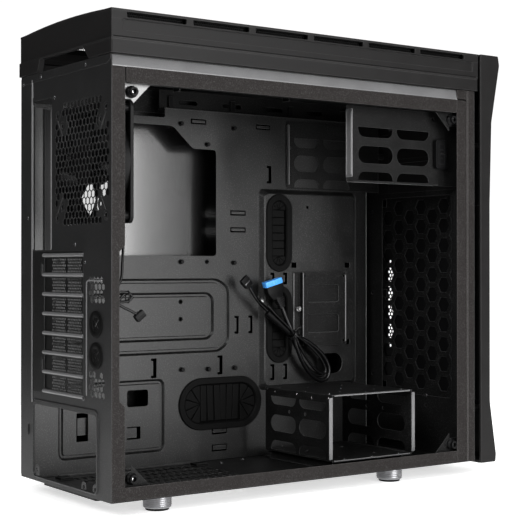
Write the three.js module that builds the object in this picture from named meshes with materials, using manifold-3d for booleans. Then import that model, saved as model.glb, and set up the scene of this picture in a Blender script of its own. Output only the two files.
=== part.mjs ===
// A mid-tower computer case with its near side panel off: folded steel chassis, plastic covers,
// fan, drive cages, grommets, slot covers, feet and the front-panel leads that hang inside it.
//
// Every piece is drawn in case coordinates, in millimetres:
//   w  across the case, from the open side (0) to the closed side
//   d  into the case, from the rear face (0) to the front
//   h  up from the underside of the steel (0)
// and is then placed in the part's frame: +X to the closed side, -Y to the front, +Z up,
// with the origin on the ground under the middle of the case.

import * as THREE from "three";
import { mergeVertices } from "three/addons/utils/BufferGeometryUtils.js";
import Module from "manifold-3d";

const wasm = await Module();
wasm.setup();

// ---------------------------------------------------------------- driving dimensions
const WIDTH = 203; // steel box
const DEPTH = 482;
const HEIGHT = 433;
const SHEET = 1; // steel thickness
const GAP = 0.3; // between pieces that touch
const SIDE_PROUD = 3; // covers and panels stand out this far on each side
const REAR_PROUD = 2; // the cover's skirt stands out at the rear
const LIP_DEPTH = 520; // front edge of the bezel's top lip
const FOOT_HEIGHT = 15;

const RIM_SIDE = 15; // flange round the open side: rear edge
const RIM_FRONT_START = 454;
const RIM_BOTTOM = 14;
const RIM_TOP = 406;

const TRAY_W = 174; // face of the motherboard tray
const PLATEAU_RISE = 6; // the tray's raised field
const PLATEAU_W = TRAY_W - PLATEAU_RISE;

const FAN = { w: 63, h: 330, size: 120, depth: 25, bore: 58, hub: 20, blades: 7 };
const FAN_D = SHEET + GAP;
const SLOT = { count: 7, pitch: 20.32, firstH: 107.3, w: [60, 160], height: 18.6 };
const PSU_OPENING = { w: [29, 171], h: [6, 82] };
const IO_OPENING = { w: [129, 173.5], h: [245, 403.75] };
const BAY = { w: [27, 173], h: [320, 405] };
const BEZEL_D = 489;
const CENTRE_W = WIDTH / 2;
const CENTRE_D = (LIP_DEPTH - REAR_PROUD) / 2;

const COVER_H = HEIGHT + GAP; // underside of the top cover
const SKIRT_TOP = 448;
const ROOF_SIDE_TOP = 477;
const ROOF_CROWN = 4;

const ROOF_W = [0, WIDTH + SIDE_PROUD];
const ROOF_D = [0, 488];
const ROOF_WALL = 2.5;
const VENT = { first: 17, pitch: 76, length: 68, h: [469, 474.5], count: 6 };

// openings and holders in the rear and front panels
const SLOT_HOLE = { w: [62, 146], half: 7.75 };
const RIM_NOTCH = { d: 9, h: [98, 242] }; // the rear flange is narrower here
const HOSE_GROMMET = { neck: 11.7, flange: 13.5, thick: 1.2 };
const HOSE_GROMMETS = [[31, 171], [31, 140]];
const INTAKE = { w: [38, 165], h: [70, 314] };
const POST = { rear: 26, front: 451, top: 398, bottom: 21, radius: 6 };

// motherboard tray
const TRAY = { d: [2, 462], h: [SHEET + GAP, HEIGHT - SHEET - GAP] };
const PLATEAU = { d: [294, 444], h: [79, 321] };
const COOLER_CUT = [[40, 389], [175, 389], [202, 364], [234, 364], [234, 240], [40, 240]];
const TOP_NOTCH = { d: 164, h: 398 };
const DRIVE_SLOT = { d: [378, 418], h: [95, 120], radius: 12 };
const POWER_HOLES = [{ d: [115, 142], h: [70, 89] }, { d: [115, 132], h: [33, 48] }];
const CABLE_GROMMETS = [
  { name: "cable_grommet_upper", d: [301.5, 339.5], h: [221, 315], face: PLATEAU_W },
  { name: "cable_grommet_lower", d: [301.5, 339.5], h: [111, 205], face: PLATEAU_W },
  { name: "cable_grommet_side", d: [182, 298], h: [37, 98], face: TRAY_W },
];
const GROMMET_LIP = 3; // flange beyond the hole in the sheet

// drive holders
const CAGE_BACK = DEPTH - SHEET - GAP;
const NEAR_PLATE = { w: 26, d: 310, h: [322, 408], lip: 10 };
const FAR_PLATE = { w: 172.6, d: 336, h: [322, 405], lip: 4 };
const DRIVES = { w: [22, 149], d: [287, 404], h: [12, 86] };
const SSD = { w: 160, d: [351, 418], h: [131, 221], riser: 341 };

// front bezel and its ports
const BAY_WINDOW = { w: [27, 176], h: [319, 406] };
const INTAKE_WINDOW = { w: [22, 181], h: [74, 310] };
const PORT_WINDOW = { w: [45, 158], d: [495, 512] };
const BEZEL_PEGS = [[12, 60], [191, 60], [12, 370], [191, 370]];
const PORT_D = 503.5;
const POWER = { w: CENTRE_W, radius: 7 };
const RESET = { w: 122, radius: 2.5 };
const USB = { w: [62, 81], width: 13, depth: 5.7, bottom: 464 };
const JACK_W = [136, 148];

// underneath
const FOOT = { radius: 14.6, padRadius: 12, padTop: -13 };
const FOOT_PLACES = {
  near_rear: [22, 64], near_front: [22, 369], far_rear: [WIDTH - 22, 64], far_front: [WIDTH - 22, 369],
};
const FILTER = { w: [42, 161], d: [6, 205], h: [-4.3, -GAP] };

const ROUND_STEPS = 24;
const STADIUM_STEPS = 6; // in each quarter of a round end

// ---------------------------------------------------------------- frame and solids
const X = new THREE.Vector3(1, 0, 0);
const Y = new THREE.Vector3(0, 1, 0);
const Z = new THREE.Vector3(0, 0, 1);
const FRONT = new THREE.Vector3(0, -1, 0);

const toX = (w) => w - CENTRE_W;
const toY = (d) => CENTRE_D - d;
const toZ = (h) => h + FOOT_HEIGHT;
const place = ([w, d, h]) => new THREE.Vector3(toX(w), toY(d), toZ(h));

// A closed geometry becomes a solid; triangles with no area are left out, and it is turned right side out.
function solid(geometry) {
  const bare = geometry.clone();
  bare.deleteAttribute("normal");
  bare.deleteAttribute("uv");
  const merged = mergeVertices(bare, 1e-4);
  const position = merged.attributes.position;
  const corner = (i) => new THREE.Vector3().fromBufferAttribute(position, i);
  const index = Array.from(merged.index.array);
  const triangles = [];
  let volume = 0;
  for (let i = 0; i < index.length; i += 3) {
    const [a, b, c] = index.slice(i, i + 3);
    if (a !== b && b !== c && c !== a) {
      triangles.push([a, b, c]);
      volume += corner(a).dot(corner(b).cross(corner(c)));
    }
  }
  const facingOut = volume > 0 ? triangles : triangles.map(([a, b, c]) => [a, c, b]);
  const mesh = new wasm.Mesh({
    numProp: 3,
    vertProperties: new Float32Array(position.array),
    triVerts: new Uint32Array(facingOut.flat()),
  });
  return new wasm.Manifold(mesh);
}

const within = ([from, to], margin) => [from + margin, to - margin];
const join = (...solids) => solids.reduce((all, next) => all.add(next));
const cut = (body, ...tools) => tools.reduce((all, next) => all.subtract(next), body);

// A box from its lowest to its highest value along each case axis.
function block(w, d, h) {
  const geometry = new THREE.BoxGeometry(w[1] - w[0], d[1] - d[0], h[1] - h[0]);
  const middle = place([(w[0] + w[1]) / 2, (d[0] + d[1]) / 2, (h[0] + h[1]) / 2]);
  geometry.translate(middle.x, middle.y, middle.z);
  return solid(geometry);
}

// The three ways a flat outline can face: along w, along d or along h.
const SIDE = { axes: [Y, Z, X], point: ([d, h]) => [toY(d), toZ(h)], offset: (w) => toX(w) };
const FACE = { axes: [X, Z, FRONT], point: ([w, h]) => [toX(w), toZ(h)], offset: (d) => -toY(d) };
const LEVEL = { axes: [X, Y, Z], point: ([w, d]) => [toX(w), toY(d)], offset: (h) => toZ(h) };

// An outline made solid between two planes.
function slab(way, outline, [from, to]) {
  const shape = new THREE.Shape(outline.map((p) => new THREE.Vector2(...way.point(p))));
  const geometry = new THREE.ExtrudeGeometry(shape, { depth: to - from, bevelEnabled: false });
  geometry.translate(0, 0, way.offset(from));
  geometry.applyMatrix4(new THREE.Matrix4().makeBasis(...way.axes));
  return solid(geometry);
}

function arc([a, b], radius, start, end, steps) {
  const points = [];
  for (let i = 0; i <= steps; i += 1) {
    const angle = start + ((end - start) * i) / steps;
    points.push([a + radius * Math.cos(angle), b + radius * Math.sin(angle)]);
  }
  return points;
}

const circle = (centre, radius, steps = ROUND_STEPS) =>
  arc(centre, radius, 0, 2 * Math.PI, steps).slice(0, -1);

function roundedBox([a0, a1], [b0, b1], radius, steps = 4) {
  const quarter = Math.PI / 2;
  return [
    ...arc([a1 - radius, b1 - radius], radius, 0, quarter, steps),
    ...arc([a0 + radius, b1 - radius], radius, quarter, 2 * quarter, steps),
    ...arc([a0 + radius, b0 + radius], radius, 2 * quarter, 3 * quarter, steps),
    ...arc([a1 - radius, b0 + radius], radius, 3 * quarter, 4 * quarter, steps),
  ];
}

// The outline round two circles, like a belt.
function belt(p, rp, q, rq, steps = 8) {
  const along = Math.atan2(q[1] - p[1], q[0] - p[0]);
  const lean = Math.acos((rp - rq) / Math.hypot(q[0] - p[0], q[1] - p[1]));
  return [
    ...arc(q, rq, along - lean, along + lean, steps),
    ...arc(p, rp, along + lean, along - lean + 2 * Math.PI, steps),
  ];
}

// A solid between two convex side outlines with the same number of points.
function loft(from, fromW, to, toW) {
  const middle = (outline) => [0, 1].map((k) => outline.reduce((sum, p) => sum + p[k], 0) / outline.length);
  const points = [
    ...from.map(([d, h]) => place([fromW, d, h])),
    ...to.map(([d, h]) => place([toW, d, h])),
    place([fromW, ...middle(from)]),
    place([toW, ...middle(to)]),
  ];
  const count = from.length;
  const index = [];
  for (let i = 0; i < count; i += 1) {
    const next = (i + 1) % count;
    index.push(i, next, count + i, next, count + next, count + i);
    index.push(next, i, 2 * count, count + i, count + next, 2 * count + 1);
  }
  const geometry = new THREE.BufferGeometry().setFromPoints(points);
  geometry.setIndex(index);
  return solid(geometry);
}

// A profile of [radius, distance along the axis] turned about an axis through a point.
function turned(profile, origin, axis, steps = ROUND_STEPS) {
  const geometry = new THREE.LatheGeometry(profile.map(([r, t]) => new THREE.Vector2(r, t)), steps);
  geometry.applyQuaternion(new THREE.Quaternion().setFromUnitVectors(Y, axis));
  const at = place(origin);
  geometry.translate(at.x, at.y, at.z);
  return solid(geometry);
}

const pin = (radius, from, to, origin, axis, steps) =>
  turned([[0, from], [radius, from], [radius, to], [0, to]], origin, axis, steps);

// A round tube along a smooth line through the given points.
function tube(points, radius, stepLength, sides = 8) {
  const curve = new THREE.CatmullRomCurve3(points.map(place));
  const ring = circle([0, 0], radius, sides).map((p) => new THREE.Vector2(...p));
  const steps = Math.max(2, Math.round(curve.getLength() / stepLength));
  return solid(new THREE.ExtrudeGeometry(new THREE.Shape(ring), { extrudePath: curve, steps }));
}

// ---------------------------------------------------------------- materials
const finish = (color, roughness, metalness) =>
  new THREE.MeshStandardMaterial({ color, roughness, metalness });
const STEEL = finish(0x1c1c1d, 0.5, 0.3);
const INNER_STEEL = finish(0x262627, 0.45, 0.3);
const PLASTIC = finish(0x18181a, 0.45, 0);
const MATTE_PLASTIC = finish(0x121214, 0.6, 0);
const RUBBER = finish(0x0d0d0e, 0.8, 0);
const CHROME = finish(0xb9bbbd, 0.25, 1);
const CABLE = finish(0x0c0c0d, 0.4, 0);
const BLUE_PLUG = finish(0x3d8fe6, 0.5, 0);

const group = new THREE.Group();

function add(name, body, material, position = [0, 0, 0]) {
  const { vertProperties, triVerts } = body.getMesh();
  const geometry = new THREE.BufferGeometry();
  geometry.setAttribute("position", new THREE.BufferAttribute(new Float32Array(vertProperties), 3));
  geometry.setIndex(new THREE.BufferAttribute(new Uint32Array(triVerts), 1));
  geometry.computeVertexNormals();
  const mesh = new THREE.Mesh(geometry, material);
  mesh.name = name;
  mesh.position.set(...position);
  group.add(mesh);
}

// ---------------------------------------------------------------- folded chassis
const closedW = WIDTH - SHEET;

// A floor or top: a sheet with a flange turned along both sides.
function pan(sheetH, flangeH) {
  const behindFront = [SHEET + GAP, RIM_FRONT_START - GAP];
  const toFront = [SHEET + GAP, DEPTH - SHEET - GAP];
  return join(
    block([0, WIDTH], behindFront, sheetH),
    block([SHEET + GAP, closedW - GAP], toFront, sheetH),
    block([0, SHEET], behindFront, flangeH),
    block([closedW, WIDTH], behindFront, flangeH),
  );
}
const RIM_H = [RIM_BOTTOM + GAP, RIM_TOP - GAP];
const slotHeights = Array.from({ length: SLOT.count }, (_, i) => SLOT.firstH + SLOT.pitch * i);

function rearPanel() {
  const grommetHoles = HOSE_GROMMETS.map((at) =>
    slab(FACE, circle(at, HOSE_GROMMET.neck + GAP), [-GAP, SHEET + GAP]));
  const slotHoles = slotHeights.map((h) =>
    block(SLOT_HOLE.w, [-GAP, SHEET + GAP], [h - SLOT_HOLE.half, h + SLOT_HOLE.half]));
  return cut(
    join(
      block([0, WIDTH], [0, SHEET], [0, HEIGHT]),
      block([0, SHEET], [0, RIM_SIDE], RIM_H),
      block([closedW, WIDTH], [0, RIM_SIDE], RIM_H),
    ),
    block([-GAP, SHEET + GAP], [RIM_NOTCH.d, RIM_SIDE + GAP], RIM_NOTCH.h),
    slab(FACE, roundedBox(PSU_OPENING.w, PSU_OPENING.h, 3), [-GAP, SHEET + GAP]),
    slab(FACE, roundedBox(IO_OPENING.w, IO_OPENING.h, 2), [-GAP, SHEET + GAP]),
    ...slotHoles,
    ...grommetHoles,
  );
}

function frontPanel() {
  const body = join(
    block([0, WIDTH], [DEPTH - SHEET, DEPTH], [0, HEIGHT]),
    block([0, SHEET], [RIM_FRONT_START, DEPTH], [0, HEIGHT]),
    block([closedW, WIDTH], [RIM_FRONT_START, DEPTH], [0, HEIGHT]),
  );
  const through = [DEPTH - SHEET - GAP, DEPTH + GAP];
  return cut(
    body,
    slab(FACE, roundedBox(BAY.w, BAY.h, 2), through),
    slab(FACE, roundedBox(INTAKE.w, INTAKE.h, 6), through),
    ...[POST.top, POST.bottom].map((h) =>
      slab(SIDE, circle([POST.front, h], POST.radius + 1.5), [-GAP, SHEET + GAP])),
  );
}

// Motherboard tray: a full-height sheet with a raised field, the cooler cut-out and cable openings.

// A four-sided mound with sloping sides, wider at its base than at its top.
function mound(topW, baseW) {
  const { d, h } = PLATEAU;
  const ring = (inset) =>
    roundedBox([d[0] + inset, d[1] - inset], [h[0] + inset, h[1] - inset], 8, 3);
  return loft(ring(PLATEAU_RISE), topW, ring(0), baseW);
}

function motherboardTray() {
  const sheet = block([TRAY_W, TRAY_W + SHEET], TRAY.d, TRAY.h);
  const outer = mound(PLATEAU_W, TRAY_W);
  const inner = mound(PLATEAU_W + SHEET, TRAY_W + SHEET);
  const through = [PLATEAU_W - GAP, TRAY_W + SHEET + GAP];
  const grommetHoles = CABLE_GROMMETS.map(({ d, h }) => {
    const hole = [[d[0] + GROMMET_LIP, d[1] - GROMMET_LIP], [h[0] + GROMMET_LIP, h[1] - GROMMET_LIP]];
    const radius = Math.min(hole[0][1] - hole[0][0], hole[1][1] - hole[1][0]) / 2;
    return slab(SIDE, roundedBox(...hole, radius, STADIUM_STEPS), through);
  });
  return cut(
    cut(join(sheet, outer), inner),
    slab(SIDE, COOLER_CUT, through),
    block(through, [0, TOP_NOTCH.d], [TOP_NOTCH.h, HEIGHT]),
    slab(SIDE, roundedBox(DRIVE_SLOT.d, DRIVE_SLOT.h, DRIVE_SLOT.radius), through),
    ...POWER_HOLES.map(({ d, h }) => block(through, d, h)),
    ...grommetHoles,
  );
}

add("floor_pan", pan([0, SHEET], [0, RIM_BOTTOM]), STEEL);
add("top_panel", pan([HEIGHT - SHEET, HEIGHT], [RIM_TOP, HEIGHT]), STEEL);

// ---------------------------------------------------------------- rear panel and what it holds
add("rear_panel", rearPanel(), STEEL);
add("front_panel", frontPanel(), STEEL);
add("motherboard_tray", motherboardTray(), INNER_STEEL);

const slotCover = join(
  block(SLOT.w, [SHEET + GAP, SHEET + GAP + 0.8], [-SLOT.height / 2, SLOT.height / 2]),
  block([SLOT.w[0], SLOT.w[0] + 0.8], [SHEET + GAP, 13], [-SLOT.height / 2, SLOT.height / 2]),
);
slotHeights.forEach((h, i) => add(`slot_cover_${i + 1}`, slotCover, STEEL, [0, 0, h]));

// Rubber hose grommet: two flanges with a neck through the panel.
function hoseGrommet([w, h]) {
  const { neck, flange, thick } = HOSE_GROMMET;
  const inside = SHEET + GAP;
  const profile = [
    [0, -GAP - thick], [flange, -GAP - thick], [flange, -GAP], [neck, -GAP],
    [neck, inside], [flange, inside], [flange, inside + thick], [0, inside + thick],
  ];
  return turned(profile, [w, 0, h], FRONT, 20);
}
HOSE_GROMMETS.forEach((at, i) => add(`hose_grommet_${i + 1}`, hoseGrommet(at), RUBBER));

// ---------------------------------------------------------------- rear fan
function fanFrame() {
  const half = FAN.size / 2;
  const backPlate = [FAN_D, FAN_D + 2.5];
  const shroud = cut(
    slab(FACE, roundedBox([FAN.w - half, FAN.w + half], [FAN.h - half, FAN.h + half], 6), [FAN_D, FAN_D + FAN.depth]),
    slab(FACE, circle([FAN.w, FAN.h], FAN.bore, 36), [0, FAN_D + FAN.depth + GAP]),
  );
  const struts = [
    block([FAN.w - FAN.bore - 1, FAN.w + FAN.bore + 1], backPlate, [FAN.h - 2.5, FAN.h + 2.5]),
    block([FAN.w - 2.5, FAN.w + 2.5], backPlate, [FAN.h - FAN.bore - 1, FAN.h + FAN.bore + 1]),
  ];
  return join(shroud, slab(FACE, circle([FAN.w, FAN.h], FAN.hub), backPlate), ...struts);
}

function fanRotor() {
  const hubFrom = FAN_D + 3;
  const hubTo = FAN_D + FAN.depth - 1;
  const bladeReach = FAN.bore - 2;
  const middle = place([FAN.w, (hubFrom + hubTo) / 2, FAN.h]);
  const blades = Array.from({ length: FAN.blades }, (_, i) => {
    const blade = new THREE.BoxGeometry(bladeReach - FAN.hub + 4, 24, 1.6);
    blade.translate((bladeReach + FAN.hub - 4) / 2, 0, 0);
    blade.rotateX(THREE.MathUtils.degToRad(52));
    blade.rotateY((i * 2 * Math.PI) / FAN.blades);
    blade.translate(middle.x, middle.y, middle.z);
    return solid(blade);
  });
  return join(pin(FAN.hub, hubFrom, hubTo, [FAN.w, 0, FAN.h], FRONT), ...blades);
}
add("rear_fan_frame", fanFrame(), MATTE_PLASTIC);
add("rear_fan_rotor", fanRotor(), PLASTIC);

// ---------------------------------------------------------------- 5.25 inch bay cage

function bayPlate({ w, d, h, lip }) {
  return join(
    block([w, w + SHEET], [d, CAGE_BACK], h),
    block([w - lip, w + SHEET], [d, d + SHEET], [h[0] + 5, h[1] - 5]),
  );
}
add("bay_plate_near", bayPlate(NEAR_PLATE), STEEL);
add("bay_plate_far", bayPlate(FAR_PLATE), STEEL);
add("bay_latch", cut(
  slab(SIDE, roundedBox([440, 457], [342, 376], 3), [NEAR_PLATE.w - 6, NEAR_PLATE.w - GAP]),
  block([NEAR_PLATE.w - 7, NEAR_PLATE.w - 4], [444, 453], [347, 371]),
), MATTE_PLASTIC);

// ---------------------------------------------------------------- 3.5 inch drive cage

function driveCage() {
  const { w, d, h } = DRIVES;
  const shell = cut(
    block(w, d, h),
    block([w[0] - 1, w[1] + 1], [d[0] + SHEET, d[1] - SHEET], [h[0] + SHEET, h[1] - SHEET]),
  );
  const lips = [
    block([w[0], w[0] + SHEET], [d[0] - 4, d[0] + SHEET], [h[0] + 3, h[1] - 3]),
    block([w[0], w[0] + SHEET], [d[1] - SHEET, d[1] + 4], [h[0] + 3, h[1] - 3]),
  ];
  const legs = [
    block([w[0] + 10, w[1]], [d[0] + 8, d[0] + 9], [SHEET + GAP, h[0] + SHEET]),
    block([w[0] + 10, w[1]], [d[1] - 9, d[1] - 8], [SHEET + GAP, h[0] + SHEET]),
  ];
  const ear = block([w[1] - SHEET, w[1] + 15], [d[0] + 8, d[0] + 24], [SHEET + GAP, SHEET + GAP + 2]);
  return join(shell, ...lips, ...legs, ear);
}
add("drive_cage", driveCage(), STEEL);

// Knurled head and short shank, pointing along an axis.
function thumbscrew(origin, axis, radius, length) {
  const profile = [
    [0, 0], [radius * 0.8, 0], [radius * 0.8, 1], [radius, 1.6],
    [radius, length - 1], [radius * 0.85, length], [0, length],
  ];
  return turned(profile, origin, axis, 16);
}
add("drive_cage_thumbscrew", thumbscrew([157, 303, SHEET + 2 * GAP + 2], Z, 4.5, 7), STEEL);

// ---------------------------------------------------------------- 2.5 inch drive tray

function ssdTray() {
  const foot = PLATEAU_W - GAP;
  return join(
    block([SSD.w, SSD.w + SHEET], SSD.d, SSD.h),
    block([SSD.w, foot], [SSD.d[0], SSD.d[0] + SHEET], SSD.h),
    block([foot - SHEET, foot], [SSD.riser, SSD.d[0] + SHEET], [SSD.h[0] + 6, SSD.h[1]]),
    block([SSD.w, foot], [SSD.d[1] - SHEET, SSD.d[1]], SSD.h),
  );
}
add("ssd_tray", ssdTray(), STEEL);
add("ssd_tray_thumbscrew",
  thumbscrew([PLATEAU_W - 2 * GAP - SHEET, SSD.riser + 4.6, 176], X.clone().negate(), 4, 6), CHROME);

// ---------------------------------------------------------------- oval cable grommets
function cableGrommet({ d, h, face }) {
  const stadium = (grow) => {
    const a = [d[0] - grow, d[1] + grow];
    const b = [h[0] - grow, h[1] + grow];
    return roundedBox(a, b, Math.min(a[1] - a[0], b[1] - b[0]) / 2, STADIUM_STEPS);
  };
  const front = face - GAP;
  const back = face + SHEET + GAP;
  return cut(
    join(
      slab(SIDE, stadium(0), [front - 2, front]),
      slab(SIDE, stadium(-GROMMET_LIP - GAP), [front - 1, back + 0.6]),
      slab(SIDE, stadium(-1), [back, back + 1.2]),
    ),
    slab(SIDE, stadium(-9), [front - 3, front - 1]),
  );
}
CABLE_GROMMETS.forEach((at) => add(at.name, cableGrommet(at), RUBBER));

// ---------------------------------------------------------------- brackets with snap posts
// A gusset stands off the corner behind the open side's rim; a hollow post on it takes the side panel.
function cornerBracket(atFront, atTop) {
  const postD = atFront ? POST.front : POST.rear;
  const postH = atTop ? POST.top : POST.bottom;
  const reach = atTop ? HEIGHT - SHEET - GAP - postH : postH - SHEET - GAP;
  const outward = atFront ? 1 : -1;
  const upward = atTop ? 1 : -1;
  const outline = [[-24, reach], [-(14 + reach), reach], [1, -13], [1, -7], [-24, -7]].map(
    ([along, up], i) => {
      const inward = i === 1 ? 14 + reach : along;
      return [postD - outward * inward, postH + upward * up];
    });
  const post = [[0, 0], [POST.radius, 0], [POST.radius, 4], [4.6, 5], [4.6, 8.7], [2.4, 8.7], [2.4, 4], [0, 4]];
  return join(
    slab(SIDE, outline, [9, 10]),
    turned(post, [9.2, postD, postH], X.clone().negate(), 16),
  );
}
for (const [name, atFront, atTop] of [
  ["corner_bracket_rear_top", false, true],
  ["corner_bracket_rear_bottom", false, false],
  ["corner_bracket_front_top", true, true],
  ["corner_bracket_front_bottom", true, false],
]) {
  add(name, cornerBracket(atFront, atTop), STEEL);
}

// ---------------------------------------------------------------- closed side panel
const PANEL = { w: [WIDTH + GAP, WIDTH + SIDE_PROUD], d: [0.5, DEPTH - 1], h: [0.5, HEIGHT] };
add("side_panel", cut(
  block(PANEL.w, PANEL.d, PANEL.h),
  block([PANEL.w[0] - 1, PANEL.w[1] - 0.8], [PANEL.d[0] + 2, PANEL.d[1] - 2], [PANEL.h[0] + 2, PANEL.h[1] - 2]),
), STEEL);

// ---------------------------------------------------------------- top cover
const OUTER_W = [-SIDE_PROUD, WIDTH + SIDE_PROUD];
const NOTCH = [[44, COVER_H - 1], [160, COVER_H - 1], [154, SKIRT_TOP - 1.5], [55, SKIRT_TOP - 1.5]];
add("top_cover_skirt", cut(
  block(OUTER_W, [-REAR_PROUD, 485], [COVER_H, SKIRT_TOP]),
  block([3, WIDTH - 3], [4, 479], [COVER_H - 1, SKIRT_TOP + 1]),
  slab(FACE, NOTCH, [-REAR_PROUD - 1, 5]),
), PLASTIC);

// The roof from the rear: straight sides and a top that rises to a low crown in the middle.
function roofOutline(inset, foot) {
  const middle = (ROOF_W[0] + ROOF_W[1]) / 2;
  const half = ROOF_W[1] - middle - inset;
  const top = [];
  const steps = 12;
  for (let i = 0; i <= steps; i += 1) {
    const t = 1 - (2 * i) / steps;
    top.push([middle + half * t, ROOF_SIDE_TOP - inset + ROOF_CROWN * (1 - t * t)]);
  }
  return [[ROOF_W[0] + inset, foot], [ROOF_W[1] - inset, foot], ...top];
}
const roofVents = Array.from({ length: VENT.count }, (_, i) => {
  const from = VENT.first + VENT.pitch * i;
  return block([ROOF_W[0] - 1, ROOF_W[1] + 1], [from, from + VENT.length], VENT.h);
});
add("top_cover_roof", cut(
  slab(FACE, roofOutline(0, SKIRT_TOP + GAP), ROOF_D),
  slab(FACE, roofOutline(ROOF_WALL, SKIRT_TOP - 1), [ROOF_D[0] + ROOF_WALL, ROOF_D[1] - ROOF_WALL]),
  ...roofVents,
), PLASTIC);

// ---------------------------------------------------------------- front bezel
const BEZEL_PROFILE = [
  [BEZEL_D, -3], [513, -3], [514, 6], [504, 69], [504, 300],
  [507, 398], [LIP_DEPTH, 466], [518, ROOF_SIDE_TOP], [BEZEL_D, ROOF_SIDE_TOP],
];
const BEZEL_HOLLOW = [
  [BEZEL_D - 3, 0], [510, 0], [511, 6], [501, 69], [501, 300],
  [504, 398], [516.8, 466], [515, 474], [BEZEL_D - 3, 474],
];

add("front_bezel", join(
  cut(
    slab(SIDE, BEZEL_PROFILE, OUTER_W),
    slab(SIDE, BEZEL_HOLLOW, [0, WIDTH]),
    block(BAY_WINDOW.w, [496, 515], BAY_WINDOW.h),
    block(INTAKE_WINDOW.w, [496, 515], INTAKE_WINDOW.h),
    block(PORT_WINDOW.w, PORT_WINDOW.d, [470, 480]),
  ),
  ...BEZEL_PEGS.map((at) => slab(FACE, circle(at, 4, 12), [DEPTH + GAP, 504.5])),
), PLASTIC);

add("front_grille", block([18, 185], [498.5, 500.7], [66, 315]), MATTE_PLASTIC);
add("front_fascia", slab(SIDE, roundedBox([501, 504], [77, 307], 1), [42, 161]), PLASTIC);

const BAY_COVER_H = [[319.5, 362.2], [362.8, 405.5]];
BAY_COVER_H.forEach((h, i) =>
  add(`bay_cover_${i + 1}`, block([BAY_WINDOW.w[0] + 0.5, BAY_WINDOW.w[1] - 0.5], [501, 504.5], h), PLASTIC));

// ---------------------------------------------------------------- ports and buttons on top of the bezel

const upright = (w, radius, from, to, steps) => pin(radius, from, to, [w, PORT_D, 0], Z, steps);
add("port_module", cut(
  join(
    block([43, 160], [493.5, 513], [462, 473.7]),
    block(within(PORT_WINDOW.w, GAP), within(PORT_WINDOW.d, GAP), [473, ROOF_SIDE_TOP]),
  ),
  upright(POWER.w, POWER.radius + 0.4, 460, 480, 24),
  upright(RESET.w, RESET.radius + 0.4, 460, 480, 12),
  ...JACK_W.map((w) => upright(w, 1.8, USB.bottom, 480, 10)),
  ...USB.w.map((w) => block(
    [w - USB.width / 2, w + USB.width / 2], [PORT_D - USB.depth / 2, PORT_D + USB.depth / 2], [USB.bottom, 480])),
), MATTE_PLASTIC);
add("power_button", upright(POWER.w, POWER.radius, 466, 478, 24), PLASTIC);
add("reset_button", upright(RESET.w, RESET.radius, 466, 477.6, 12), PLASTIC);

// ---------------------------------------------------------------- feet
for (const [name, [w, d]] of Object.entries(FOOT_PLACES)) {
  add(`foot_${name}`, turned([
    [0, FOOT.padTop + GAP], [FOOT.radius - 1.2, FOOT.padTop + GAP], [FOOT.radius, -11],
    [FOOT.radius, -1.5], [FOOT.radius - 1, -GAP], [0, -GAP],
  ], [w, d, 0], Z), CHROME);
  add(`foot_pad_${name}`, pin(FOOT.padRadius, -FOOT_HEIGHT, FOOT.padTop, [w, d, 0], Z), RUBBER);
}

// ---------------------------------------------------------------- dust filter under the power supply
add("dust_filter", cut(
  block(FILTER.w, FILTER.d, FILTER.h),
  block([FILTER.w[0] + 7, FILTER.w[1] - 7], [FILTER.d[0] + 14, FILTER.d[1] - 7], [-1.6, 1]),
), MATTE_PLASTIC);

// ---------------------------------------------------------------- front-panel leads
// The leads come out of the lower grommet and are folded into a hank, narrow where it is tied.
const HANK = { w: [146, 159.7], tail: [279, 184], waist: [329.5, 147], loop: [371, 104] };
const HANK_R = { tail: 9, waist: 7, loop: 17 };
const hank = (grow) => join(
  slab(SIDE, belt(HANK.tail, HANK_R.tail + grow, HANK.waist, HANK_R.waist + grow),
    [HANK.w[0] - grow, HANK.w[1] + grow]),
  slab(SIDE, belt(HANK.waist, HANK_R.waist + grow, HANK.loop, HANK_R.loop + grow),
    [HANK.w[0] - grow, HANK.w[1] + grow]),
);
const hankRoom = hank(GAP);
const LEAD_W = 152.8;

add("front_leads_hank", hank(0), CABLE);
add("front_leads_exit", cut(tube([[166.3, 323, 153], [163, 323, 153], [157, 325, 151]], 3, 3), hankRoom), CABLE);

// A plug's body along its own axis, leaning in the plane of the tray.
function leaningBox({ centre, lean, width, thick, length }) {
  const geometry = new THREE.BoxGeometry(thick, width, length);
  geometry.rotateX(lean);
  const at = place(centre);
  geometry.translate(at.x, at.y, at.z);
  return solid(geometry);
}
const USB_PLUG = { centre: [LEAD_W, 302, 200.5], lean: -0.27, width: 25.6, thick: 9.5, length: 23 };
const USB_RELIEF = { centre: [LEAD_W, 310.5, 186], lean: -0.42, width: 11, thick: 8, length: 16 };
const leadRoute = (points) => points.map(([d, h]) => [LEAD_W, d, h]);

// The room a plug needs in a lead that ends at it.
const roomFor = (plug) =>
  leaningBox({ ...plug, width: plug.width + 1, thick: plug.thick + 1, length: plug.length + 2 * GAP });

add("usb_plug", join(leaningBox(USB_PLUG), leaningBox(USB_RELIEF)), BLUE_PLUG);
add("usb_lead", cut(
  tube(leadRoute([[312, 182], [315.5, 174.5], [320, 166], [325, 157], [329, 149]]), 2.75, 7),
  hankRoom, roomFor(USB_RELIEF),
), CABLE);

const AUDIO_PLUG = { centre: [LEAD_W, 262, 209], lean: -0.75, width: 13, thick: 6, length: 13 };
add("audio_plug", leaningBox(AUDIO_PLUG), MATTE_PLASTIC);
add("audio_lead", cut(
  tube(leadRoute([[263, 207.5], [266.5, 202.5], [271, 196], [277, 187]]), 2, 6),
  hankRoom, roomFor(AUDIO_PLUG),
), CABLE);

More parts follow.
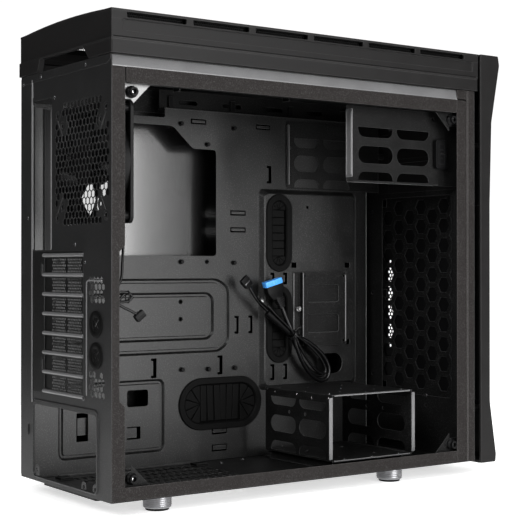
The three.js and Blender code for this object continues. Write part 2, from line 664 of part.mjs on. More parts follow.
// ---------------------------------------------------------------- fan lead
const FAN_LEAD_W = 12;
const FAN_HANK = { from: [12, 198], to: [24.5, 198], radius: 7, half: 4.5 };
const fanHank = (grow) => slab(SIDE,
  belt(FAN_HANK.from, FAN_HANK.radius + grow, FAN_HANK.to, FAN_HANK.radius - 1 + grow),
  [FAN_LEAD_W - FAN_HANK.half - grow, FAN_LEAD_W + FAN_HANK.half + grow]);
const fanHankRoom = fanHank(GAP);
const fanLeadRoute = (points) => points.map(([d, h]) => [FAN_LEAD_W, d, h]);
const FAN_LEAD_RADIUS = 1.4;
const FAN_PLUG = { centre: [FAN_LEAD_W, 38, 179], lean: 0.9, width: 8, thick: 6, length: 11 };

add("fan_lead_hank", fanHank(0), CABLE);
add("fan_lead", cut(
  tube(fanLeadRoute([[20, FAN.h - FAN.size / 2 - GAP], [20, 255], [19, 235], [17, 216], [16, 203]]),
    FAN_LEAD_RADIUS, 6),
  fanHankRoom,
), CABLE);
add("fan_plug", leaningBox(FAN_PLUG), MATTE_PLASTIC);
add("fan_plug_lead", cut(
  tube(fanLeadRoute([[12, 194], [16, 189], [23, 186], [31, 183], [38, 179]]), FAN_LEAD_RADIUS, 6),
  fanHankRoom, roomFor(FAN_PLUG),
), CABLE);

export default group;
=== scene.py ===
# A mid-tower computer case with its near side panel off: the looks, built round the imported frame.
#
# Shapes are drawn in case coordinates, in millimetres, and at() puts them in the row frame:
#   w across from the open side (0), d from the rear face (0) to the front,
#   h up from the steel's underside (0).
import math

import bmesh
import bpy
from mathutils import Matrix, Vector


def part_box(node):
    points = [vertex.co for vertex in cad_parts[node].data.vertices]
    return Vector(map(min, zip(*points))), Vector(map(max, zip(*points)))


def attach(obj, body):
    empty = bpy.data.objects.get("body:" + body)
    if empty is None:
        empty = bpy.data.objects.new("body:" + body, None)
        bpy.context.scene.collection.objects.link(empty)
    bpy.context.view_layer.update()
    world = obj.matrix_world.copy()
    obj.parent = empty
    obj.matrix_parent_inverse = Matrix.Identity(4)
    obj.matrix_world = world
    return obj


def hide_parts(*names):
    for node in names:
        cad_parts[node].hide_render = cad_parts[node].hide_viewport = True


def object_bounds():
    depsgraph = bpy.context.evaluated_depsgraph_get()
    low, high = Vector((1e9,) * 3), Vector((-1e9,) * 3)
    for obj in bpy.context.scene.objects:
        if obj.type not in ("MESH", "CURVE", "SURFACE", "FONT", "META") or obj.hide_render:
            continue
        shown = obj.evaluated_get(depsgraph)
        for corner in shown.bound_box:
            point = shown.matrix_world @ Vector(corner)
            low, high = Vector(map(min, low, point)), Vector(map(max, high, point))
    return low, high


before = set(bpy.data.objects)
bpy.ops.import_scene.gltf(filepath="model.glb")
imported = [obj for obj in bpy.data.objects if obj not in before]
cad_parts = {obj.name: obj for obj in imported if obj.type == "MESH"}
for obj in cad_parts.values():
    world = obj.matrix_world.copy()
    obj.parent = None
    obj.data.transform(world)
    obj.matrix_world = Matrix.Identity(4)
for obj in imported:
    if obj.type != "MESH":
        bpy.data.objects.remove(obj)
cad_low, cad_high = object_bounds()

MM = 0.001
SHEET = 1.0
WIDTH, DEPTH, HEIGHT = 203.0, 482.0, 433.0
TRAY_W = 174.0
PLATEAU_W = 168.0
rear_low, rear_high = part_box("rear_panel")
X, Y, Z = Vector((1, 0, 0)), Vector((0, 1, 0)), Vector((0, 0, 1))


def at(w, d, h):
    """A point in case coordinates, in the row frame."""
    return Vector((rear_low.x + w * MM, rear_high.y - d * MM, rear_low.z + h * MM))


def case_box(node):
    """A CAD node's ranges (w, d, h) in case coordinates."""
    low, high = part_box(node)
    return (
        ((low.x - rear_low.x) / MM, (high.x - rear_low.x) / MM),
        ((rear_high.y - high.y) / MM, (rear_high.y - low.y) / MM),
        ((low.z - rear_low.z) / MM, (high.z - rear_low.z) / MM),
    )


# ---------------------------------------------------------------- camera
CAMERA_AT = Vector((-1.2011, 0.8586, 0.2431))
CAMERA_LOOK = Vector((0.8187, -0.5743, 0.0062))
CAMERA_LENS = 90.53


def make_camera():
    data = bpy.data.cameras.new("camera")
    data.lens = CAMERA_LENS
    data.sensor_width = 36
    data.clip_start, data.clip_end = 0.05, 60
    camera = bpy.data.objects.new("camera", data)
    camera.location = CAMERA_AT
    camera.rotation_mode = "QUATERNION"
    camera.rotation_quaternion = CAMERA_LOOK.to_track_quat("-Z", "Y")
    bpy.context.scene.collection.objects.link(camera)
    bpy.context.scene.camera = camera


make_camera()


# ---------------------------------------------------------------- materials
CLOUD_SCALE = 38
# width and onset of the painted highlight lines along edges
HIGHLIGHT_EDGE_RADIUS = 0.0007
HIGHLIGHT_EDGE_BEGINS, HIGHLIGHT_EDGE_FULL = 0.985, 0.80
GRAIN_DEPTH = 0.00009
COAT_ROUGHNESS = 0.08


def material(name, colour, roughness, metallic=0.0, mottle=0.15, grain=(900, 0.12), edge_highlight=0.0,
             coat=0.0, rough_spread=0.08, specular=0.5, fleck=0.0):
    """A procedural finish: mottled colour, uneven gloss, grain in relief, painted highlight lines along
    edges, bright flecks.
    """
    m = bpy.data.materials.new(name)
    m.use_nodes = True
    nodes, links = m.node_tree.nodes, m.node_tree.links
    shader = nodes["Principled BSDF"]
    shader.inputs["Metallic"].default_value = metallic
    shader.inputs["Specular IOR Level"].default_value = specular
    if coat:
        shader.inputs["Coat Weight"].default_value = coat
        shader.inputs["Coat Roughness"].default_value = COAT_ROUGHNESS

    place = nodes.new("ShaderNodeTexCoord")
    cloud = nodes.new("ShaderNodeTexNoise")
    cloud.inputs["Scale"].default_value = CLOUD_SCALE
    cloud.inputs["Detail"].default_value = 5
    links.new(place.outputs["Object"], cloud.inputs["Vector"])
    speckle = nodes.new("ShaderNodeTexNoise")
    speckle.inputs["Scale"].default_value = grain[0]
    speckle.inputs["Detail"].default_value = 3
    links.new(place.outputs["Object"], speckle.inputs["Vector"])

    dark = [c * (1 - mottle) for c in colour] + [1]
    light = [min(1, c * (1 + mottle)) for c in colour] + [1]
    tone = nodes.new("ShaderNodeValToRGB")
    tone.color_ramp.elements[0].position, tone.color_ramp.elements[1].position = 0.32, 0.68
    tone.color_ramp.elements[0].color, tone.color_ramp.elements[1].color = dark, light
    if fleck:
        tone.color_ramp.elements[1].position = 0.56
        tone.color_ramp.elements.new(0.63).color = [c + fleck for c in colour] + [1]
    both = nodes.new("ShaderNodeMix")
    both.data_type = "FLOAT"
    both.inputs["Factor"].default_value = 0.88 if fleck else 0.55
    links.new(cloud.outputs["Fac"], both.inputs["A"])
    links.new(speckle.outputs["Fac"], both.inputs["B"])
    links.new(both.outputs["Result"], tone.inputs["Fac"])
    colour_out = tone.outputs["Color"]

    gloss = nodes.new("ShaderNodeMapRange")
    gloss.inputs["To Min"].default_value = max(0.02, roughness - rough_spread)
    gloss.inputs["To Max"].default_value = min(1.0, roughness + rough_spread)
    links.new(cloud.outputs["Fac"], gloss.inputs["Value"])
    gloss_out = gloss.outputs["Result"]

    # painted highlight: edges found by the bevel normal get a much lighter colour, standing in for light
    # caught on sheet edges
    if edge_highlight:
        rounded = nodes.new("ShaderNodeBevel")
        rounded.samples = 4
        rounded.inputs["Radius"].default_value = HIGHLIGHT_EDGE_RADIUS
        true = nodes.new("ShaderNodeNewGeometry")
        same = nodes.new("ShaderNodeVectorMath")
        same.operation = "DOT_PRODUCT"
        links.new(rounded.outputs["Normal"], same.inputs[0])
        links.new(true.outputs["Normal"], same.inputs[1])
        edge = nodes.new("ShaderNodeMapRange")
        edge.inputs["From Min"].default_value = HIGHLIGHT_EDGE_BEGINS
        edge.inputs["From Max"].default_value = HIGHLIGHT_EDGE_FULL
        edge.inputs["To Max"].default_value = edge_highlight
        links.new(same.outputs["Value"], edge.inputs["Value"])
        edge_highlighted = nodes.new("ShaderNodeMix")
        edge_highlighted.data_type = "RGBA"
        edge_highlighted.inputs["B"].default_value = [min(1, c * 3 + 0.10) for c in colour] + [1]
        links.new(edge.outputs["Result"], edge_highlighted.inputs["Factor"])
        links.new(colour_out, edge_highlighted.inputs["A"])
        colour_out = edge_highlighted.outputs["Result"]

    relief = nodes.new("ShaderNodeBump")
    relief.inputs["Strength"].default_value = grain[1]
    relief.inputs["Distance"].default_value = GRAIN_DEPTH
    links.new(speckle.outputs["Fac"], relief.inputs["Height"])
    links.new(relief.outputs["Normal"], shader.inputs["Normal"])
    links.new(colour_out, shader.inputs["Base Color"])
    links.new(gloss_out, shader.inputs["Roughness"])
    return m


STEEL = material("powder_coated_steel", (0.0045, 0.0045, 0.0045), 0.40, grain=(900, 0.5), edge_highlight=0.55,
                 specular=0.12, fleck=0.02)
REAR = material("powder_coated_rear", (0.009, 0.009, 0.0092), 0.44, grain=(900, 0.5), edge_highlight=0.5,
                specular=0.26, fleck=0.02)
RIM = material("powder_coated_rim", (0.0145, 0.0130, 0.0125), 0.52, mottle=0.25, grain=(900, 0.5), edge_highlight=0.6,
               specular=0.06, fleck=0.02)
INNER = material("powder_coated_tray", (0.003, 0.003, 0.003), 0.36, grain=(800, 0.8), edge_highlight=0.35,
                 specular=0.42, fleck=0.03)
# painted highlight: a much lighter copy of the black steel for edges, bars, lips and bands that catch the
# light
HIGHLIGHT_STEEL = material("painted_highlight_steel", (0.11, 0.11, 0.112), 0.38, grain=(1100, 0.20), edge_highlight=0.5, specular=0.7)
# painted reflection: a bright plated-looking copy of the steel, standing in for light glinting off one
# gusset
GLINT_GUSSET_STEEL = material("painted_reflection_gusset", (0.20, 0.20, 0.20), 0.40, metallic=0.7, grain=(900, 0.10))
PANEL = material("painted_panel", (0.006, 0.006, 0.006), 0.19, grain=(1500, 0.03), mottle=0.1, coat=0.5,
                 specular=1.0, rough_spread=0.02)
PLASTIC = material("grained_plastic", (0.009, 0.0086, 0.0086), 0.46, grain=(1100, 0.4), edge_highlight=0.4,
                   specular=0.14)
BLACK = material("satin_black_plastic", (0.003, 0.003, 0.0032), 0.40, grain=(1500, 0.15), edge_highlight=0.15,
                 specular=0.10)
RUBBER = material("black_rubber", (0.003, 0.003, 0.003), 0.50, grain=(800, 0.20), edge_highlight=0.15, specular=0.05)
CHROME = material("ribbed_chrome", (0.30, 0.30, 0.31), 0.34, metallic=1.0, mottle=0.1, grain=(600, 0.05))
SCREW = material("black_screw", (0.06, 0.06, 0.062), 0.25, metallic=0.8, grain=(900, 0.10), edge_highlight=0.8)
NICKEL = material("nickel_screw", (0.50, 0.50, 0.50), 0.22, metallic=1.0, grain=(900, 0.05))
JACKET = material("cable_jacket", (0.003, 0.003, 0.0032), 0.24, grain=(500, 0.08), specular=0.22)
BLUE = material("blue_insert", (0.065, 0.33, 0.85), 0.42, mottle=0.08, grain=(900, 0.15))
# painted shade: a darker black put on sheets in hollows, behind openings and along the roof foot, where only
# shade falls
SHADE_BLACK = material("painted_shade_black", (0.0012, 0.0012, 0.0012), 0.8, grain=(900, 0.1), specular=0.03)

# ---------------------------------------------------------------- mesh work
WAYS = {
    "side": lambda a, b, c: at(c, a, b),  # outline (d, h), thickness along w
    "face": lambda a, b, c: at(a, c, b),  # outline (w, h), thickness along d
    "level": lambda a, b, c: at(a, b, c),  # outline (w, d), thickness along h
}


def tidy(bm, sharp=32, flat=False):
    """Merges doubled points, turns faces outward and gives back a mesh with crisp creases."""
    bmesh.ops.remove_doubles(bm, verts=bm.verts, dist=1e-6)
    bmesh.ops.dissolve_degenerate(bm, edges=bm.edges, dist=1e-7)
    bmesh.ops.recalc_face_normals(bm, faces=bm.faces)
    mesh = bpy.data.meshes.new("part")
    bm.to_mesh(mesh)
    bm.free()
    smooth = [len(f.vertices) < 9 and not (flat and max(map(abs, f.normal)) > 0.9999)
              for f in mesh.polygons]
    mesh.set_sharp_from_angle(angle=math.radians(sharp))
    mesh.polygons.foreach_set("use_smooth", smooth)
    return mesh


def arc(centre, radius, start, end, steps):
    turn = (end - start) / steps
    return [
        (centre[0] + radius * math.cos(start + turn * i), centre[1] + radius * math.sin(start + turn * i))
        for i in range(steps + 1)
    ]


def circle(a, b, radius, steps=16):
    return arc((a, b), radius, 0, 2 * math.pi, steps)[:-1]


def rbox(a, b, radius=1.0, steps=4):
    """A rectangle over two ranges with round corners."""
    r = min(radius, (a[1] - a[0]) / 2, (b[1] - b[0]) / 2)
    quarter = math.pi / 2
    corners = [(a[1] - r, b[1] - r), (a[0] + r, b[1] - r), (a[0] + r, b[0] + r), (a[1] - r, b[0] + r)]
    return [p for i, c in enumerate(corners) for p in arc(c, r, quarter * i, quarter * (i + 1), steps)]


def hexagon(a, b, radius, start=math.pi / 6):
    return arc((a, b), radius, start, start + 2 * math.pi, 6)[:-1]


def honeycomb(a, b, pitch, radius, keep=lambda p, q: True, start=math.pi / 6):
    """Hexagonal holes over two ranges, in staggered rows."""
    holes = []
    row_step = pitch * math.sqrt(3) / 2
    rows = int((b[1] - b[0]) / row_step) + 1
    columns = int((a[1] - a[0]) / pitch) + 1
    for row in range(rows):
        q = b[0] + row * row_step
        for column in range(columns):
            p = a[0] + column * pitch + (pitch / 2 if row % 2 else 0)
            if p <= a[1] and keep(p, q):
                holes.append(hexagon(p, q, radius, start))
    return holes


def plate(way, span, outline, holes=(), bevel=0.3):
    """Flat stock between two depths, with holes, its edges a little rounded."""
    curve = bpy.data.curves.new("plate", "CURVE")
    curve.dimensions, curve.fill_mode = "2D", "BOTH"
    for loop in [outline, *holes]:
        spline = curve.splines.new("POLY")
        spline.points.add(len(loop) - 1)
        for point, (a, b) in zip(spline.points, loop):
            point.co = (a, b, 0, 1)
        spline.use_cyclic_u = True
    thick = span[1] - span[0]
    bevel = min(bevel, thick * 0.4)
    curve.extrude = thick / 2 - bevel
    curve.bevel_depth, curve.offset, curve.bevel_resolution = bevel, -bevel, 1
    holder = bpy.data.objects.new("plate", curve)
    flat = holder.to_mesh()
    bm = bmesh.new()
    bm.from_mesh(flat)
    holder.to_mesh_clear()
    bpy.data.objects.remove(holder)
    bpy.data.curves.remove(curve)
    middle = (span[0] + span[1]) / 2
    for v in bm.verts:
        v.co = WAYS[way](v.co.x, v.co.y, middle + v.co.z)
    return tidy(bm, flat=True)


def loft(way, rings, caps=(True, True), sharp=32, flat=True):
    """A skin through rings of (outline, depth) that have the same number of points."""
    bm = bmesh.new()
    rows = [[bm.verts.new(WAYS[way](a, b, c)) for a, b in outline] for outline, c in rings]
    count = len(rows[0])
    for low, high in zip(rows, rows[1:]):
        for i in range(count):
            j = (i + 1) % count
            bm.faces.new((low[i], low[j], high[j], high[i]))
    if caps[0]:
        bm.faces.new(rows[0])
    if caps[1]:
        bm.faces.new(rows[-1])
    return tidy(bm, sharp, flat)


def bar(way, outline, span, bevel=0.8):
    """A solid bar with rounded ends along its depth."""
    middle = [sum(p[k] for p in outline) / len(outline) for k in (0, 1)]
    reach = max(math.dist(p, middle) for p in outline)

    def inset(amount):
        scale = max(0.05, 1 - amount / reach)
        return [(middle[0] + (a - middle[0]) * scale, middle[1] + (b - middle[1]) * scale) for a,
                b in outline]

    rings = [(inset(bevel), span[0]), (inset(bevel * 0.3), span[0] + bevel * 0.3),
             (outline, span[0] + bevel),
             (outline, span[1] - bevel), (inset(bevel * 0.3), span[1] - bevel * 0.3),
             (inset(bevel), span[1])]
    return loft(way, rings)


def block(w, d, h, bevel=0.4, segments=2):
    """A box with rounded edges."""
    bm = bmesh.new()
    bmesh.ops.create_cube(bm, size=1)
    low, high = at(w[0], d[0], h[0]), at(w[1], d[1], h[1])
    for v in bm.verts:
        v.co = Vector([low[k] + (v.co[k] + 0.5) * (high[k] - low[k]) for k in range(3)])
    if bevel:
        size = min(w[1] - w[0], d[1] - d[0], h[1] - h[0])
        bmesh.ops.bevel(bm, geom=bm.edges[:], offset=min(bevel, size * 0.35) * MM, segments=segments,
                        profile=0.5, affect="EDGES")
    return tidy(bm, flat=True)


def lathe(profile, origin, axis, steps=28, sharp=32):
    """A profile of (radius, distance along the axis) turned round an axis through a point."""
    turn = Vector((0, 0, 1)).rotation_difference(axis).to_matrix()
    base = at(*origin)
    bm = bmesh.new()
    rows = []
    for radius, along in profile:
        if radius < 1e-6:
            rows.append([bm.verts.new(base + turn @ Vector((0, 0, along * MM)))])
        else:
            rows.append([
                bm.verts.new(base + turn @ Vector((radius * math.cos(t) * MM, radius * math.sin(t) * MM,
                                                   along * MM)))
                for t in [2 * math.pi * i / steps for i in range(steps)]
            ])
    for low, high in zip(rows, rows[1:]):
        for i in range(steps):
            j = (i + 1) % steps
            corners = [low[i % len(low)], low[j % len(low)], high[j % len(high)], high[i % len(high)]]
            corners = list(dict.fromkeys(corners))
            if len(corners) > 2:
                bm.faces.new(corners)
    return tidy(bm, sharp)


def smooth_path(points, steps=8):
    """A Catmull-Rom line through points."""
    p = [Vector(q) for q in points]
    p = [2 * p[0] - p[1], *p, 2 * p[-1] - p[-2]]
    line = []
    for a, b, c, d in zip(p, p[1:], p[2:], p[3:]):
        for i in range(steps):
            t = i / steps
            line.append(0.5 * (2 * b + (c - a) * t + (2 * a - 5 * b + 4 * c - d) * t * t
                               + (3 * b - a - 3 * c + d) * t ** 3))
    return [*line, p[-2]]


def rod(points, radius, sides=10, flat=1.0):
    """A round or flattened rod along points in case coordinates."""
    line = [at(*p) for p in points]
    bm = bmesh.new()
    side = None
    rows = []
    for i, p in enumerate(line):
        along = (line[min(i + 1, len(line) - 1)] - line[max(i - 1, 0)]).normalized()
        if side is None:
            side = along.orthogonal().normalized()
            if abs(along.x) < 0.9:
                side = (X - along * X.dot(along)).normalized()
        side = (side - along * side.dot(along)).normalized()
        other = along.cross(side)
        rows.append([
            bm.verts.new(p + (side * math.cos(t) * flat + other * math.sin(t)) * radius * MM)
            for t in [2 * math.pi * k / sides for k in range(sides)]
        ])
    for low, high in zip(rows, rows[1:]):
        for k in range(sides):
            bm.faces.new((low[k], low[(k + 1) % sides], high[(k + 1) % sides], high[k]))
    bm.faces.new(rows[0])
    bm.faces.new(rows[-1])
    return tidy(bm, 50)


def offset_loop(loop, grow):
    """A closed outline moved outward by a distance."""
    area = sum(p[0] * q[1] - q[0] * p[1] for p, q in zip(loop, [*loop[1:], loop[0]]))
    grow = grow if area > 0 else -grow
    moved = []
    for i, q in enumerate(loop):
        p, r = loop[i - 1], loop[(i + 1) % len(loop)]
        n1 = Vector((q[1] - p[1], p[0] - q[0])).normalized()
        n2 = Vector((r[1] - q[1], q[0] - r[0])).normalized()
        n = (n1 + n2).normalized()
        reach = grow / max(0.4, n.dot(n1))
        moved.append((q[0] + n.x * reach, q[1] + n.y * reach))
    return moved


def rounded_corners(points, radius, steps=3):
    """A polygon with its corners rounded off."""
    out = []
    for i, q in enumerate(points):
        p, r = Vector(points[i - 1]), Vector(points[(i + 1) % len(points)])
        q = Vector(q)
        reach = min(radius, (p - q).length * 0.45, (r - q).length * 0.45)
        a, b = q + (p - q).normalized() * reach, q + (r - q).normalized() * reach
        for k in range(steps + 1):
            t = k / steps
            out.append(tuple(a * (1 - t) ** 2 + q * 2 * t * (1 - t) + b * t * t))
    return out


def ridge(way, loop, width, rise, surface, thick=1.0):
    """A stamped line along a closed outline: a groove if rise points into the sheet, a bead if out of it."""
    half = width / 2
    steps = [(-half, 0), (-half * 0.72, rise), (half * 0.1, rise), (half, 0)]
    rings = [(offset_loop(loop, off), surface + lift) for off, lift in steps]
    back = [(offset_loop(loop, off), surface + lift + thick) for off, lift in reversed(steps)]
    return loft(way, [*rings, *back, rings[0]], caps=(False, False))


def piece(name, body, *groups, replaces=(), slot=None):
    """One visible object from (material, meshes...) groups; it rides a body and stands for CAD nodes."""
    mesh = bpy.data.meshes.new(name)
    bm = bmesh.new()
    for index, (finish, *parts) in enumerate(groups):
        mesh.materials.append(finish)
        for part in parts:
            before = len(bm.faces)
            bm.from_mesh(part)
            bm.faces.ensure_lookup_table()
            for face in bm.faces[before:]:
                face.material_index = index
            bpy.data.meshes.remove(part)
    bm.to_mesh(mesh)
    bm.free()
    made = bpy.data.objects.new(name, mesh)
    bpy.context.scene.collection.objects.link(made)
    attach(made, body)
    if replaces:
        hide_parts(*replaces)
    return made


def moved(mesh, w=0.0, d=0.0, h=0.0):
    """A copy of a mesh shifted in case coordinates."""
    copy = mesh.copy()
    copy.transform(Matrix.Translation(at(w, d, h) - at(0, 0, 0)))
    return copy


def screw_head(w, d, h, axis, radius=3.0, dome=1.1):
    """A pan-head screw with a round dimple in its dome, standing on a point of the surface."""
    profile = [(0, -0.6), (radius, -0.6), (radius, 0.25), (radius * 0.86, dome * 0.75),
               (radius * 0.45, dome),
               (radius * 0.34, dome * 0.95), (radius * 0.28, dome * 0.3), (0, dome * 0.2)]
    return lathe(profile, (w, d, h), axis, 16)


def rivet(w, d, h, axis, radius=1.6, dome=0.6):
    return lathe([(0, -0.3), (radius, -0.3), (radius, 0), (radius * 0.75, dome * 0.7), (0, dome)],
                 (w, d, h), axis, 12)


# ---------------------------------------------------------------- front-panel leads
LEAD_W = 152.8
CABLE_EXIT = (166.8, 323, 153)
WAIST = Vector((329.5, 147))
LOOP_END = Vector((371, 104))
TAIL = Vector((279, 184))


def loop_point(angle, reach, spread, w):
    """A point on a drop-shaped loop hanging from the waist, at an angle from 0 to a full turn."""
    along = (LOOP_END - WAIST).normalized()
    across = Vector((-along.y, along.x))
    out = reach / 2 * (1 - math.cos(angle))
    side = spread * math.sin(angle) * math.sin(angle / 2) * 1.3
    q = WAIST + along * out + across * side
    return (w, q.x, q.y)


def lead(name, points, diameter, replaces=()):
    """A free cord along a smooth line through points in case coordinates; its length is its line's own."""
    curve = bpy.data.curves.new(name, "CURVE")
    curve.dimensions = "3D"
    curve.bevel_depth = diameter / 2
    curve.bevel_resolution = 4
    curve.use_fill_caps = True
    line = smooth_path(points, 6)
    spline = curve.splines.new("POLY")
    spline.points.add(len(line) - 1)
    for point, q in zip(spline.points, line):
        point.co = (*at(*q), 1)
    spline.use_smooth = True
    curve.materials.append(JACKET)
    made = bpy.data.objects.new(name, curve)
    bpy.context.scene.collection.objects.link(made)
    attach(made, "case")
    if replaces:
        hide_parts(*replaces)
    real = sum((at(*b) - at(*a)).length for a, b in zip(line, line[1:]))
    return made


def leaning(centre, lean, profile):
    """A plug body lofted along its own leaning axis: profile of (along, half width, half thickness)."""
    axis = Matrix.Rotation(lean, 3, "X") @ Z
    side = Matrix.Rotation(lean, 3, "X") @ Y
    base = at(*centre)
    bm = bmesh.new()
    rows = []
    for along, half_width, half_thick in profile:
        corner = min(half_width, half_thick) * 0.35
        ring = rbox((-half_width, half_width), (-half_thick, half_thick), corner, 3)
        rows.append([bm.verts.new(base + (axis * along + side * a + X * b) * MM) for a, b in ring])
    count = len(rows[0])
    for low, high in zip(rows, rows[1:]):
        for i in range(count):
            bm.faces.new((low[i], low[(i + 1) % count], high[(i + 1) % count], high[i]))
    bm.faces.new(rows[0])
    bm.faces.new(rows[-1])
    return tidy(bm, 40)


def front_leads():
    usb_centre, usb_lean = (LEAD_W, 302, 200.5), -0.27
    body = leaning(usb_centre, usb_lean, [
        (-11.4, 7.0, 3.6), (-9, 8.5, 4.2), (-4, 11.6, 4.6), (-2, 12.2, 4.7), (4.4, 12.4, 4.7),
        (4.8, 11.9, 4.3)])
    insert = leaning(usb_centre, usb_lean,
                     [(4.9, 12.2, 4.1), (5.4, 12.5, 4.5), (11.2, 12.5, 4.5), (11.4, 12.3, 4.3)])
    keying = leaning(usb_centre, usb_lean, [(5.6, 2.2, 4.75), (11.2, 2.2, 4.75)])
    ribs = [leaning((LEAD_W, 310.5, 186), -0.42, [
        (-7.6 + 2.6 * i, 4.2 + 0.35 * i, 3.2 + 0.14 * i), (-6.2 + 2.6 * i, 4.2 + 0.35 * i, 3.2 + 0.14 * i)])
        for i in range(6)]
    core = leaning((LEAD_W, 310.5, 186), -0.42, [(-7.8, 3.3, 2.8), (7.6, 5.2, 3.6)])
    usb_plug = piece("usb_header_plug", "case", (BLACK, body, core, *ribs), (BLUE, insert, keying),
                     replaces=["usb_plug"], slot="blue_plastic")
    audio = leaning((LEAD_W, 262, 209), -0.75, [
        (-6.3, 4.6, 2.4), (-5, 5.6, 2.8), (3.5, 6.2, 2.9), (3.7, 5.6, 2.5), (6.3, 5.6, 2.5)])
    notch = leaning((LEAD_W - 2.9, 262, 209), -0.75, [(-1, 4.4, 0.25), (0.2, 4.4, 0.25)])
    audio_plug = piece("audio_header_plug", "case", (BLACK, audio), (SCREW, notch), replaces=["audio_plug"],
                       slot="black_plastic")
    pins = []
    switch_bodies = []
    for i in range(3):
        centre = (148.6 + 1.2 * i, 283.5 + 3.6 * i, 186.5 - 2.4 * i)
        switch_bodies.append(leaning(centre, -0.9, [(-6, 2.2, 1.2), (6, 2.5, 1.3), (6.3, 2.3, 1.1)]))
        pins.append(leaning((centre[0] - 1.4, centre[1], centre[2]), -0.9,
                            [(0.5, 1.5, 0.2), (4.0, 1.5, 0.2)]))
    switch_plugs = piece("switch_header_plugs", "case", (BLACK, *switch_bodies), (NICKEL, *pins),
                         slot="black_plastic")

    turn = 2 * math.pi

    def loops(reach, spread, w0, w1, steps=12):
        return [loop_point(turn * i / steps, reach, spread, w0 + (w1 - w0) * i / steps)
                for i in range(1, steps)]

    usb = [CABLE_EXIT, (163, 323.2, 152.8), (158.5, 325.5, 150.6), *loops(77, 15.0, 156.6, 151.5),
           (150.2, 326.5, 150.5), (151, 322, 160), (152, 317.5, 170), (LEAD_W, 313.3, 180.5)]
    lead("usb_lead_cord", usb, 0.0055,
         replaces=["usb_lead", "front_leads_exit"])
    audio_exit = (166.8, 325.5, 157)
    audio_line = [audio_exit, (162.5, 326, 155), (159, 328, 151.5), *loops(71, 11.0, 155.5, 156.8),
                  (156, 325.5, 151.5), (155.6, 316, 159), (155, 304, 167.5), (154.4, 291, 177),
                  (153.6, 279, 187.5),
                  (153, 271.5, 196.5), (LEAD_W, 266.8, 203.4)]
    lead("audio_lead_cord", audio_line, 0.004,
         replaces=["audio_lead", "front_leads_hank"])
    switch_exit = (166.8, 320.5, 150)
    switch_line = [switch_exit, (162, 321.5, 150), (157, 325, 149.5), *loops(68, 8.0, 151.5, 149.2),
                   (149, 325, 151), (148.8, 315, 159.5), (148.8, 303, 169.5), (148.8, 295, 177),
                   (149, 289.5, 182)]
    lead("switch_lead_cord", switch_line, 0.0032)

    along = (LOOP_END - WAIST).normalized()
    ties = []
    for shift, radius in ((0, 1.0), (2.0, 0.9)):
        middle = WAIST + along * shift
        across = Vector((-along.y, along.x))
        ring = []
        for i in range(21):
            t = turn * i / 20
            q = middle + across * (7.2 * math.cos(t)) + along * (1.5 * math.sin(2 * t))
            ring.append((LEAD_W + 6.4 * math.sin(t), q.x, q.y))
        ties.append(rod(ring, radius, 8))
    ends = rod([(LEAD_W - 6, WAIST.x - 1, WAIST.y + 3), (LEAD_W - 7.5, WAIST.x + 3, WAIST.y + 7),
                (LEAD_W - 7.2, WAIST.x + 9, WAIST.y + 8.5)], 0.8, 8)
    sleeve = []
    direction = (TAIL - WAIST).normalized()
    for i in range(9):
        q = WAIST + direction * (3 + i * 5.2)
        sleeve.append((154.2, q.x, q.y))
    wrap = rod(smooth_path(sleeve, 3), 5.0, 14, flat=0.7)
    piece("hank_ties", "case", (JACKET, *ties, ends), (BLACK, wrap), slot="cable_jacket")


FAN_LEAD_W = 12.0


def fan_leads():
    plug = leaning((FAN_LEAD_W, 38, 179), 0.9, [(-5.3, 3.4, 2.5), (-4, 3.9, 2.8), (5.3, 3.9, 2.8)])
    key = leaning((FAN_LEAD_W - 2.6, 38, 179), 0.9, [(-3, 1.0, 0.35), (4, 1.0, 0.35)])
    fan_plug = piece("fan_header_plug", "case", (BLACK, plug, key), replaces=["fan_plug"],
                     slot="black_plastic")
    exit_at = (FAN_LEAD_W, 20, 269.8)
    wind = []
    for i in range(25):
        t = math.pi + 2 * math.pi * i / 12
        wind.append((FAN_LEAD_W - 2.6 + 5.2 * i / 24, 18.2 + 10.4 * math.cos(t), 198 + 4.9 * math.sin(t)))
    line = [exit_at, (12, 20, 262), (12, 19.6, 248), (11.8, 18.6, 232), (11, 17, 217), (10, 12, 207),
            *wind[1:-4],
            (14.2, 15, 192.5), (13.4, 19, 188.6), (12.6, 26, 185.2), (12.1, 31.5, 182.4), (12, 35.2, 180.4)]
    lead("fan_lead_cord", line, 0.0028,
         replaces=["fan_lead", "fan_lead_hank", "fan_plug_lead"])
    tie = [(FAN_LEAD_W + 4.0 * math.sin(t), 24.6 + 0.4 * math.cos(2 * t), 198 + 5.9 * math.cos(t))
           for t in [2 * math.pi * i / 16 for i in range(17)]]
    piece("fan_lead_tie", "case", (JACKET, rod(tie, 0.6, 8)), slot="cable_jacket")


front_leads()
fan_leads()


# ---------------------------------------------------------------- chassis
SLOT_FIRST, SLOT_PITCH, SLOT_COUNT = 107.3, 20.32, 7
FAN_W, FAN_H = 63.0, 330.0
FAN_HOLES = [(FAN_W + sx * k, FAN_H + sh * k) for k in (52.5, 41.25) for sx in (-1, 1) for sh in (-1, 1)]


def near_any(points, radius):
    return lambda p, q: all(math.dist((p, q), c) > radius for c in points)


